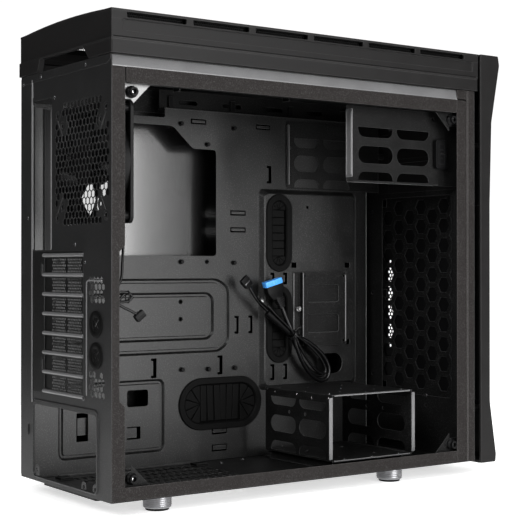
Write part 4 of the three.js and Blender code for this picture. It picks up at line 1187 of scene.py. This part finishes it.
def ssd_tray():
    d, h = (351, 418), (131, 221)
    face = plate("side", (160, 161), rbox((d[0] + 0.4, d[1] - 0.4), h, 1.5), [
        rbox((358, 406), (184, 205), 3), rbox((358, 406), (147, 169), 3),
        *[circle(a, b, 1.6, 10) for a in (354, 414) for b in (136, 216)]], 0.35)
    panes = [plate("side", (161.6, 162.4), rbox((355, 409), span, 3), [], 0.2)
             for span in ((181, 208), (144, 172))]
    risers = [block((160.4, 167.6), span, (h[0] + 0.5, h[1] - 0.5), 0.3)
              for span in ((351, 352), (417, 418))]
    foot = plate("side", (166.7, 167.7), rbox((341, 351.8), (137, 221), 1.2), [], 0.3)
    rails = [rod([(160.2, d[1] - 0.8, h[0] + 4), (160.2, d[1] - 0.8, h[1] - 4)], 0.8, 8)]
    lips = []
    for a, b in ((184, 205), (147, 169)):
        lips.append(rod([(160.3, 406, b - 2), (160.3, 406, a + 2), (160.3, 404, a), (160.3, 360, a)], 0.45,
                        6))
    for w_line, d_line in ((166.8, 342), (160.2, 351.5)):
        rails.append(rod([(w_line, d_line, 138), (w_line, d_line, 219)], 0.5, 6))
    piece("ssd_plate", "ssd_tray", (STEEL, face, *panes, *risers, foot, *lips), (HIGHLIGHT_STEEL, *rails),
          replaces=["ssd_tray"],
          slot="chassis_steel")
    knurled_screw("ssd_thumbscrew_head", "ssd_thumbscrew", (166.4, 345.6, 176), -X, 4, 6,
                  "ssd_tray_thumbscrew", NICKEL,
                  "screw_metal")


def brackets():
    for name, at_front, at_top in [("rear_top", 0, 1), ("rear_bottom", 0, 0), ("front_top", 1, 1),
                                   ("front_bottom", 1, 0)]:
        node = f"corner_bracket_{name}"
        post_d, post_h = (451 if at_front else 26), (398 if at_top else 21)
        reach = 431.7 - post_h if at_top else post_h - 1.3
        out, up = (1 if at_front else -1), (1 if at_top else -1)
        corners = [(-24, reach), (-(14 + reach), reach), (1, -13), (1, -7), (-24, -7)]
        shape = []
        for i, (along, rise) in enumerate(corners):
            inward = 14 + reach if i == 1 else along
            shape.append((post_d - out * inward, post_h + up * rise))
        gusset = plate("side", (9, 10), rounded_corners(shape, 1.2), [], 0.35)
        post = lathe([(0, 0), (6, 0), (6, 2.4), (5.6, 2.8), (5.6, 3.2), (6, 3.6), (5.6, 4.3), (4.5, 5),
                      (4.5, 8.2),
                      (4.2, 8.6), (2.9, 8.7), (2.4, 8.2), (2.4, 4), (0, 4)], (9.2, post_d, post_h), -X, 28)
        screw = lathe([(0, 4.4), (1.5, 4.4), (1.2, 5.4), (0.6, 5.5), (0.5, 4.9), (0, 4.9)],
                      (9.2, post_d, post_h), -X, 12)
        # only the rear top gusset gets the bright copy, as a painted reflection; the others stay plain steel
        finish = GLINT_GUSSET_STEEL if at_top and not at_front else STEEL
        piece(f"panel_catch_{name}", "case", (finish, gusset), (BLACK, post), (NICKEL, screw),
              replaces=[node],
              slot="chassis_steel")


# ---------------------------------------------------------------- outer covers
def side_panel():
    (w0, w1), (d0, d1), (h0, h1) = case_box("side_panel")
    outer = rbox((d0, d1), (h0, h1), 3, 4)
    skin = loft("side", [(offset_loop(outer, -1.6), w0), (offset_loop(outer, -0.4), w0 + 0.1),
                         (outer, w0 + 0.7),
                         (outer, w1 - 1.0), (offset_loop(outer, -0.4), w1 - 0.3),
                         (offset_loop(outer, -1.2), w1),
                         ], caps=(False, True), sharp=30)
    inner = loft("side", [(offset_loop(outer, -1.6), w0), (offset_loop(outer, -2.0), w0 + 0.2),
                          (offset_loop(outer, -2.0), w1 - 0.8)], caps=(False, True))
    field = plate("side", (w1 - 0.25, w1 - 0.02), rbox((d0 + 22, d1 - 22), (h0 + 22, h1 - 22), 8, 5), [],
                  0.1)
    piece("closed_side_panel", "side_panel", (PANEL, skin, inner, field), replaces=["side_panel"],
          slot="chassis_steel")


SKIRT_OUT_W, SKIRT_OUT_D = (-3, 206), (-2, 485)
SKIRT_IN_W, SKIRT_IN_D = (3, 200), (4, 479)


def skirt_outline(gap):
    """The skirt's ring seen from above, open at the rear between two w positions."""
    out = rbox(SKIRT_OUT_W, SKIRT_OUT_D, 2, 4)
    inside = rbox(SKIRT_IN_W, SKIRT_IN_D, 1, 4)
    # rbox starts at the far front corner and runs round by the near front one
    ahead, behind = out[:15], out[15:]
    ahead_in, behind_in = inside[:15], inside[15:]
    return [(gap[1], SKIRT_OUT_D[0]), *behind, *ahead, (gap[0], SKIRT_OUT_D[0]),
            (gap[0], SKIRT_IN_D[0]), *reversed(ahead_in), *reversed(behind_in), (gap[1], SKIRT_IN_D[0])]


ROOF_WIDTH = 206.0


def roof_outline(inset, foot, side_top=477.0, crown=4.0, steps=14):
    half = ROOF_WIDTH / 2 - inset
    top = []
    for i in range(steps + 1):
        t = 1 - 2 * i / steps
        top.append((ROOF_WIDTH / 2 + half * t, side_top - inset + crown * (1 - t * t)))
    return [(inset, foot), (ROOF_WIDTH - inset, foot), *top]


VENT_FIRST, VENT_PITCH, VENT_LENGTH, VENT_COUNT = 17.0, 76.0, 68.0, 6


def cover():
    low, high, notch_top = 433.3, 448.0, 446.5
    open_ring = loft("level", [(skirt_outline((44, 160)), low), (skirt_outline((55, 154)), notch_top)])
    lid = loft("level", [(skirt_outline((104, 105)), notch_top), (skirt_outline((104, 105)), high)])
    bridge = block((103, 106), (SKIRT_OUT_D[0], SKIRT_IN_D[0]), (notch_top, high), 0)
    piece("cover_skirt", "case", (PLASTIC, open_ring, lid, bridge), replaces=["top_cover_skirt"],
          slot="cover_plastic")

    # roof: a crowned shell with a recessed field and a row of vents along each side
    wall, foot = 2.5, 448.3
    spans = [(VENT_FIRST + VENT_PITCH * i, VENT_FIRST + VENT_PITCH * i + VENT_LENGTH)
             for i in range(VENT_COUNT)]
    crown = roof_outline(0.6, foot)[3:-1]
    crown_in = roof_outline(wall, foot)[3:-1]
    profile = [(0, 474.9), (0, 476.2), (0.5, 477), *reversed(crown), (ROOF_WIDTH - 0.5, 477),
               (ROOF_WIDTH, 476.2),
               (ROOF_WIDTH, 474.9), (ROOF_WIDTH - wall, 474.9), *crown_in, (wall, 474.9)]
    parts = [loft("face", [(profile, 0.1), (profile, 487.9)], sharp=30)]
    shadows = []
    for w0, w1, field in ((0.0, wall, (1.0, wall)),
                          (ROOF_WIDTH - wall, ROOF_WIDTH, (ROOF_WIDTH - wall, ROOF_WIDTH - 1))):
        windows = [rbox(span, (469, 474.4), 1.2, 3) for span in spans]
        parts.append(plate("side", (w0, w1), rbox((0.2, 487.8), (466.8, 475.2), 0.3), windows, 0.35))
        parts.append(plate("side", field, rbox((10.5, 480.5), (455, 467.2), 0.4), [], 0.1))
        parts.append(plate("side", (w0, w1), rbox((0.2, 487.8), (450.2, 467.4), 0.6),
                           [rbox((12, 479), (456, 467.2), 1.0)],
                           0.4))
        parts.append(plate("side", (w0, w1), rbox((0.2, 487.8), (foot, 449.7), 0.4), [], 0.3))
        shadows.append(plate("side", field, rbox((0.4, 487.6), (449.2, 450.8), 0.2), [], 0.1))
    for d0, d1 in ((0.0, wall), (488 - wall, 488)):
        end = [(0.4, foot), (ROOF_WIDTH - 0.4, foot), *roof_outline(0.5, foot)[2:]]
        parts.append(plate("face", (d0, d1), end, [], 0.4))
    ribs = [block((3, ROOF_WIDTH - 3), (d, d + 2.5), (462, 475.5), 0.4)
            for d in [VENT_FIRST - 5 + VENT_PITCH * i for i in range(VENT_COUNT + 1)]]
    strips = []
    for w in (7.0, ROOF_WIDTH - 8.0):
        for span in spans:
            dots = honeycomb((span[0] + 2, span[1] - 2), (469.5, 474.2), 2.6, 0.95)
            strips.append(plate("side", (w, w + 1), rbox(span, (462.5, 475.5), 0.5), dots, 0.1))
    piece("cover_roof", "case", (PLASTIC, *parts), (RUBBER, *ribs, *strips), (SHADE_BLACK, *shadows),
          replaces=["top_cover_roof"], slot="cover_plastic")


BEZEL_OUTER = [(489, -3), (513, -3), (514, 6), (504, 69), (504, 300), (507, 398), (520, 466), (518, 477),
               (489, 477)]


def bezel():
    outer = rounded_corners(BEZEL_OUTER, 1.4, 2)
    cheeks = []
    for w0, w1 in ((-3, 0), (203, 206)):
        cheeks.append(plate("side", (w0, w1), outer, [], 0.7))
    front = []
    # front skin in bands, so that the windows stay open
    def band(points, holes, w_span):
        """The bezel's front skin between two heights, bent to its side profile."""
        (d0, h0), (d1, h1) = points
        flat = plate("face", (0, 3), rbox(w_span, (h0, h1), 0.2), holes, 0.4)
        for v in flat.vertices:
            local = v.co - at(0, 0, 0)
            h = local.z / MM
            shift = d0 + (d1 - d0) * (h - h0) / (h1 - h0)
            v.co.y -= (shift - 3) * MM
        return flat

    front.append(band(((513.0, -3), (514, 6.2)), [], (-0.1, 203.1)))
    front.append(band(((514, 6), (504, 69.2)), [], (-0.1, 203.1)))
    front.append(band(((504, 69), (504, 300)), [rbox((22, 181), (74, 299.0), 3)], (-0.1, 203.1)))
    front.append(band(((504, 300), (507, 398)),
                      [rbox((22, 181), (300.9, 310), 2), rbox((27, 176), (319, 397.2), 1.5)],
                      (-0.1, 203.1)))
    front.append(band(((507, 398), (520, 466)), [rbox((27, 176), (398.8, 406), 1.5)], (-0.1, 203.1)))
    front.append(band(((520, 465.8), (518, 477)), [], (-0.1, 203.1)))
    roof = plate("level", (474, 477), rbox((-0.1, 203.1), (489, 517.6), 0.6),
                 [rbox((45, 158), (495, 512), 2)], 0.5)
    pegs = [lathe([(0.1, 482.3), (3.6, 482.3), (4, 482.8), (4, 503), (0.1, 503)], (w, 0, h), -Y, 18)
            for w, h in [(12, 60), (191, 60), (12, 370), (191, 370)]]
    floor_strip = plate("level", (-3, 0), rbox((-0.1, 203.1), (489, 511), 0.6), [], 0.5)
    piece("bezel_shell", "case", (PLASTIC, *cheeks, *front, roof, floor_strip, *pegs),
          replaces=["front_bezel"],
          slot="cover_plastic")

    cells = []
    column_step = 20.6
    for c in range(8):
        for r in range(11):
            h = 84 + 24.2 * r + (12.1 if c % 2 else 0)
            w = 29.5 + column_step * c
            if 72 < h < 310:
                cells.append(hexagon(w, h, 10.2, 0))
    webs = plate("face", (498.5, 500.1), rbox((18, 185), (66, 315), 3), cells, 0.4)
    fine = plate("face", (500.2, 500.7), rbox((18, 185), (66, 315), 3),
                 honeycomb((166, 176), (126, 237), 5.2, 2.0), 0.1)
    clips = [block((w, w + 8), (498.5, 500.6), (h, h + 10), 0.4) for w in (18.2, 176.8)
             for h in (70, 188, 304)]
    piece("intake_mesh", "case", (STEEL, webs, *clips), (BLACK, fine), replaces=["front_grille"],
          slot="black_plastic")

    (w0, w1), (d0, d1), (h0, h1) = case_box("front_fascia")
    plate_face = bar("face", rbox((w0, w1), (h0, h1), 5, 5), (d0, d1), 0.8)
    recess = [block((w0 + 8, w1 - 8), (d1 - 0.35, d1 - 0.02), (h, h + 1.2), 0.1)
              for h in (h0 + 40, h0 + 190)]
    piece("fascia_plate", "case", (PLASTIC, plate_face), (BLACK, *recess), replaces=["front_fascia"],
          slot="cover_plastic")
    for i in (1, 2):
        (w0, w1), (d0, d1), (h0, h1) = case_box(f"bay_cover_{i}")
        front_face = bar("face", rbox((w0, w1), (h0, h1), 1.5, 4), (d0, d1), 0.7)
        dots = plate("face", (d1 - 0.3, d1 - 0.02), rbox((w0 + 6, w1 - 6), (h0 + 6, h1 - 6), 2),
                     honeycomb((w0 + 9, w1 - 9), (h0 + 9, h1 - 8.5), 4.2, 1.7), 0.05)
        lip = block((w0 + 1, w1 - 1), (d0 - 0.9, d0 + 0.1), (h1 - 3, h1 + 2.5)
                    if i == 1 else (h1 - 3, h1 - 0.4), 0.2)
        piece(f"drive_bay_cover_{i}", "case", (PLASTIC, front_face, lip), (BLACK, dots),
              replaces=[f"bay_cover_{i}"],
              slot="cover_plastic")


PORT_D = 503.5


def ports():
    holes = [circle(101.5, PORT_D, 7.4, 32), circle(122, PORT_D, 2.9, 16),
             *[circle(w, PORT_D, 1.8, 12) for w in (136, 148)],
             *[rbox((w - 6.5, w + 6.5), (PORT_D - 2.85, PORT_D + 2.85), 0.4) for w in (62, 81)]]
    base = plate("level", (464, 473.7), rbox((43, 160), (493.5, 513), 1.5), holes, 0.4)
    raised = plate("level", (473.5, 477), rbox((45.3, 157.7), (495.3, 511.7), 2), holes, 0.5)
    under = plate("level", (462, 464.2), rbox((43, 160), (493.5, 513), 1.5),
                  [circle(101.5, PORT_D, 7.4, 32),
                                                                              circle(122, PORT_D, 2.9, 16)],
                                                                              0.3)
    tongues = [block((w - 5.4, w + 5.4), (PORT_D - 1.8, PORT_D + 0.1), (464.3, 474.5), 0.3)
               for w in (62, 81)]
    shells = [loft("level", [(rbox((w - 6.45, w + 6.45), (PORT_D - 2.8, PORT_D + 2.8), 0.4), 464.5),
                             (rbox((w - 6.45, w + 6.45), (PORT_D - 2.8, PORT_D + 2.8), 0.4), 476.6),
                             (rbox((w - 6.1, w + 6.1), (PORT_D - 2.45, PORT_D + 2.45), 0.3), 476.6),
                             (rbox((w - 6.1, w + 6.1), (PORT_D - 2.45, PORT_D + 2.45), 0.3), 464.5)],
                             caps=(False, False))
              for w in (62, 81)]
    collars = [lathe([(1.8, 475.8), (2.0, 476.8), (3.2, 477.0), (3.4, 476.4)], (w, PORT_D, 0), Z, 20)
               for w in (136, 148)]
    piece("port_block", "case", (BLACK, base, raised, under), (NICKEL, *shells, *collars), (BLUE, *tongues),
          replaces=["port_module"], slot="black_plastic")
    power = lathe([(0, 466), (7, 466), (7, 477.2), (6.6, 477.8), (5.6, 478), (4.8, 477.5), (0, 477.2)],
                  (101.5, PORT_D, 0), Z, 40)
    ring = lathe([(4.9, 477.4), (5.2, 477.75), (5.6, 477.75), (5.7, 477.3)], (101.5, PORT_D, 0), Z, 40)
    piece("power_switch", "power_button", (PLASTIC, power), (NICKEL, ring), replaces=["power_button"],
          slot="cover_plastic")
    reset = lathe([(0, 466), (2.5, 466), (2.5, 477.2), (2.1, 477.6), (1.2, 477.35), (0, 477.3)],
                  (122, PORT_D, 0), Z, 24)
    piece("reset_switch", "reset_button", (PLASTIC, reset), replaces=["reset_button"], slot="cover_plastic")


def feet():
    for place in ("near_rear", "near_front", "far_rear", "far_front"):
        low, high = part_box(f"foot_{place}")
        w = ((low.x + high.x) / 2 - rear_low.x) / MM
        d = (rear_high.y - (low.y + high.y) / 2) / MM
        profile = [(0, -0.3), (13.4, -0.3), (13.7, -1.0)]
        for k in range(5):
            h = -1.6 - 1.9 * k
            profile += [(14.5, h), (14.6, h - 0.7), (14.1, h - 1.1), (14.0, h - 1.6)]
        profile += [(14.4, -11.2), (14.0, -12.2), (13.2, -12.7), (0, -12.7)]
        ring = lathe(profile, (w, d, 0), Z, 44, 25)
        piece(f"case_foot_{place}", "case", (CHROME, ring), replaces=[f"foot_{place}"], slot="foot_metal")
        pad = lathe([(0, -13), (11.6, -13), (12, -13.4), (12, -14.6), (11.6, -15), (8.5, -15), (8.2, -14.6),
                     (5, -14.6),
                     (4.7, -15), (0, -15)], (w, d, 0), Z, 36)
        piece(f"case_foot_pad_{place}", "case", (RUBBER, pad), replaces=[f"foot_pad_{place}"],
              slot="rubber_black")


def dust_filter():
    (w0, w1), (d0, d1), (h0, h1) = case_box("dust_filter")
    rim = plate("level", (h0, h1), rbox((w0, w1), (d0, d1), 3),
                [rbox((w0 + 7, w1 - 7), (d0 + 14, d1 - 7), 2)], 0.5)
    mesh = plate("level", (h0 + 1.2, h0 + 1.9), rbox((w0 + 6, w1 - 6), (d0 + 13, d1 - 6), 2),
                 honeycomb((w0 + 9, w1 - 9), (d0 + 16, d1 - 9), 4.4, 1.95), 0.08)
    grip = [block((w0 + 40, w1 - 40), (d0 + 2 + 2.6 * k, d0 + 3.2 + 2.6 * k), (h0 - 0.02, h0 + 0.8), 0.2)
            for k in range(4)]
    crossbars = [block((w0 + 6, w1 - 6), (d, d + 3), (h0 + 0.8, h0 + 3.2), 0.5) for d in (70, 135)]
    piece("floor_dust_filter", "dust_filter", (BLACK, rim, *crossbars, *grip), (RUBBER, mesh),
          replaces=["dust_filter"],
          slot="black_plastic")


rear_panel()
slot_covers()
floor()
top()
front_wall()
tray()
grommets()
fan()
bays()
drive_cage()
ssd_tray()
brackets()
side_panel()
cover()
bezel()
ports()
feet()
dust_filter()


# ---------------------------------------------------------------- floor, backdrop and light
FLOOR_RADIUS, SURROUND_RADIUS, BACKDROP_RADIUS = 0.9, 11.5, 12
FLOOR_GLOW, BACKDROP_GLOW = 0.62, 1.05
WORLD_STRENGTH = 0.06


def studio_finish(name, colour, glow):
    m = bpy.data.materials.new(name)
    m.use_nodes = True
    shader = m.node_tree.nodes["Principled BSDF"]
    shader.inputs["Base Color"].default_value = (*colour, 1)
    shader.inputs["Roughness"].default_value = 0.9
    shader.inputs["Emission Color"].default_value = (1, 1, 1, 1)
    shader.inputs["Emission Strength"].default_value = glow
    return m


def disc(name, radius, drop, finish):
    bm = bmesh.new()
    bmesh.ops.create_circle(bm, cap_ends=True, segments=96, radius=radius)
    mesh = bpy.data.meshes.new(name)
    bm.to_mesh(mesh)
    bm.free()
    mesh.materials.append(finish)
    made = bpy.data.objects.new(name, mesh)
    made.location.z = cad_low.z - drop
    bpy.context.scene.collection.objects.link(made)
    return made


def camera_only(made):
    """The surround and the backdrop are seen by the camera but light nothing."""
    made.visible_diffuse = made.visible_glossy = False
    made.visible_transmission = made.visible_shadow = False


def studio():
    ground = disc("studio_floor", FLOOR_RADIUS, 0.0002,
                  studio_finish("pale_floor", (0.80, 0.80, 0.80), FLOOR_GLOW))
    surround = disc("studio_surround", SURROUND_RADIUS, 0.002,
                    studio_finish("pale_surround", (0, 0, 0), BACKDROP_GLOW))
    bm = bmesh.new()
    bmesh.ops.create_uvsphere(bm, u_segments=48, v_segments=24, radius=BACKDROP_RADIUS)
    mesh = bpy.data.meshes.new("backdrop")
    bm.to_mesh(mesh)
    bm.free()
    mesh.materials.append(studio_finish("white_backdrop", (0, 0, 0), BACKDROP_GLOW))
    backdrop = bpy.data.objects.new("studio_backdrop", mesh)
    bpy.context.scene.collection.objects.link(backdrop)
    camera_only(surround)
    camera_only(backdrop)
    world = bpy.data.worlds.new("studio")
    world.use_nodes = True
    world.node_tree.nodes["Background"].inputs["Color"].default_value = (1, 1, 1, 1)
    world.node_tree.nodes["Background"].inputs["Strength"].default_value = WORLD_STRENGTH
    bpy.context.scene.world = world


def softbox(name, position, target, width, height, power):
    data = bpy.data.lights.new(name, "AREA")
    data.shape = "RECTANGLE"
    data.size, data.size_y = width, height
    data.energy = power
    lamp = bpy.data.objects.new(name, data)
    lamp.location = position
    lamp.rotation_mode = "QUATERNION"
    lamp.rotation_quaternion = (Vector(target) - Vector(position)).to_track_quat("-Z", "Y")
    bpy.context.scene.collection.objects.link(lamp)


studio()
softbox("key_softbox", (-1.7, -0.325, 0.45), (0.0, -0.325, 0.45), 1.15, 1.3, 38)
softbox("front_softbox", (0.7, -1.7, 0.9), (0.0, -0.2, 0.25), 0.9, 0.9, 20)
softbox("rear_left_softbox", (-1.1, 1.6, 1.25), (0.0, 0.1, 0.30), 0.8, 0.8, 34)
softbox("overhead_softbox", (-0.3, 0.1, 1.9), (0.0, 0.0, 0.2), 1.2, 1.2, 22)
bpy.context.scene.view_settings.view_transform = "Standard"
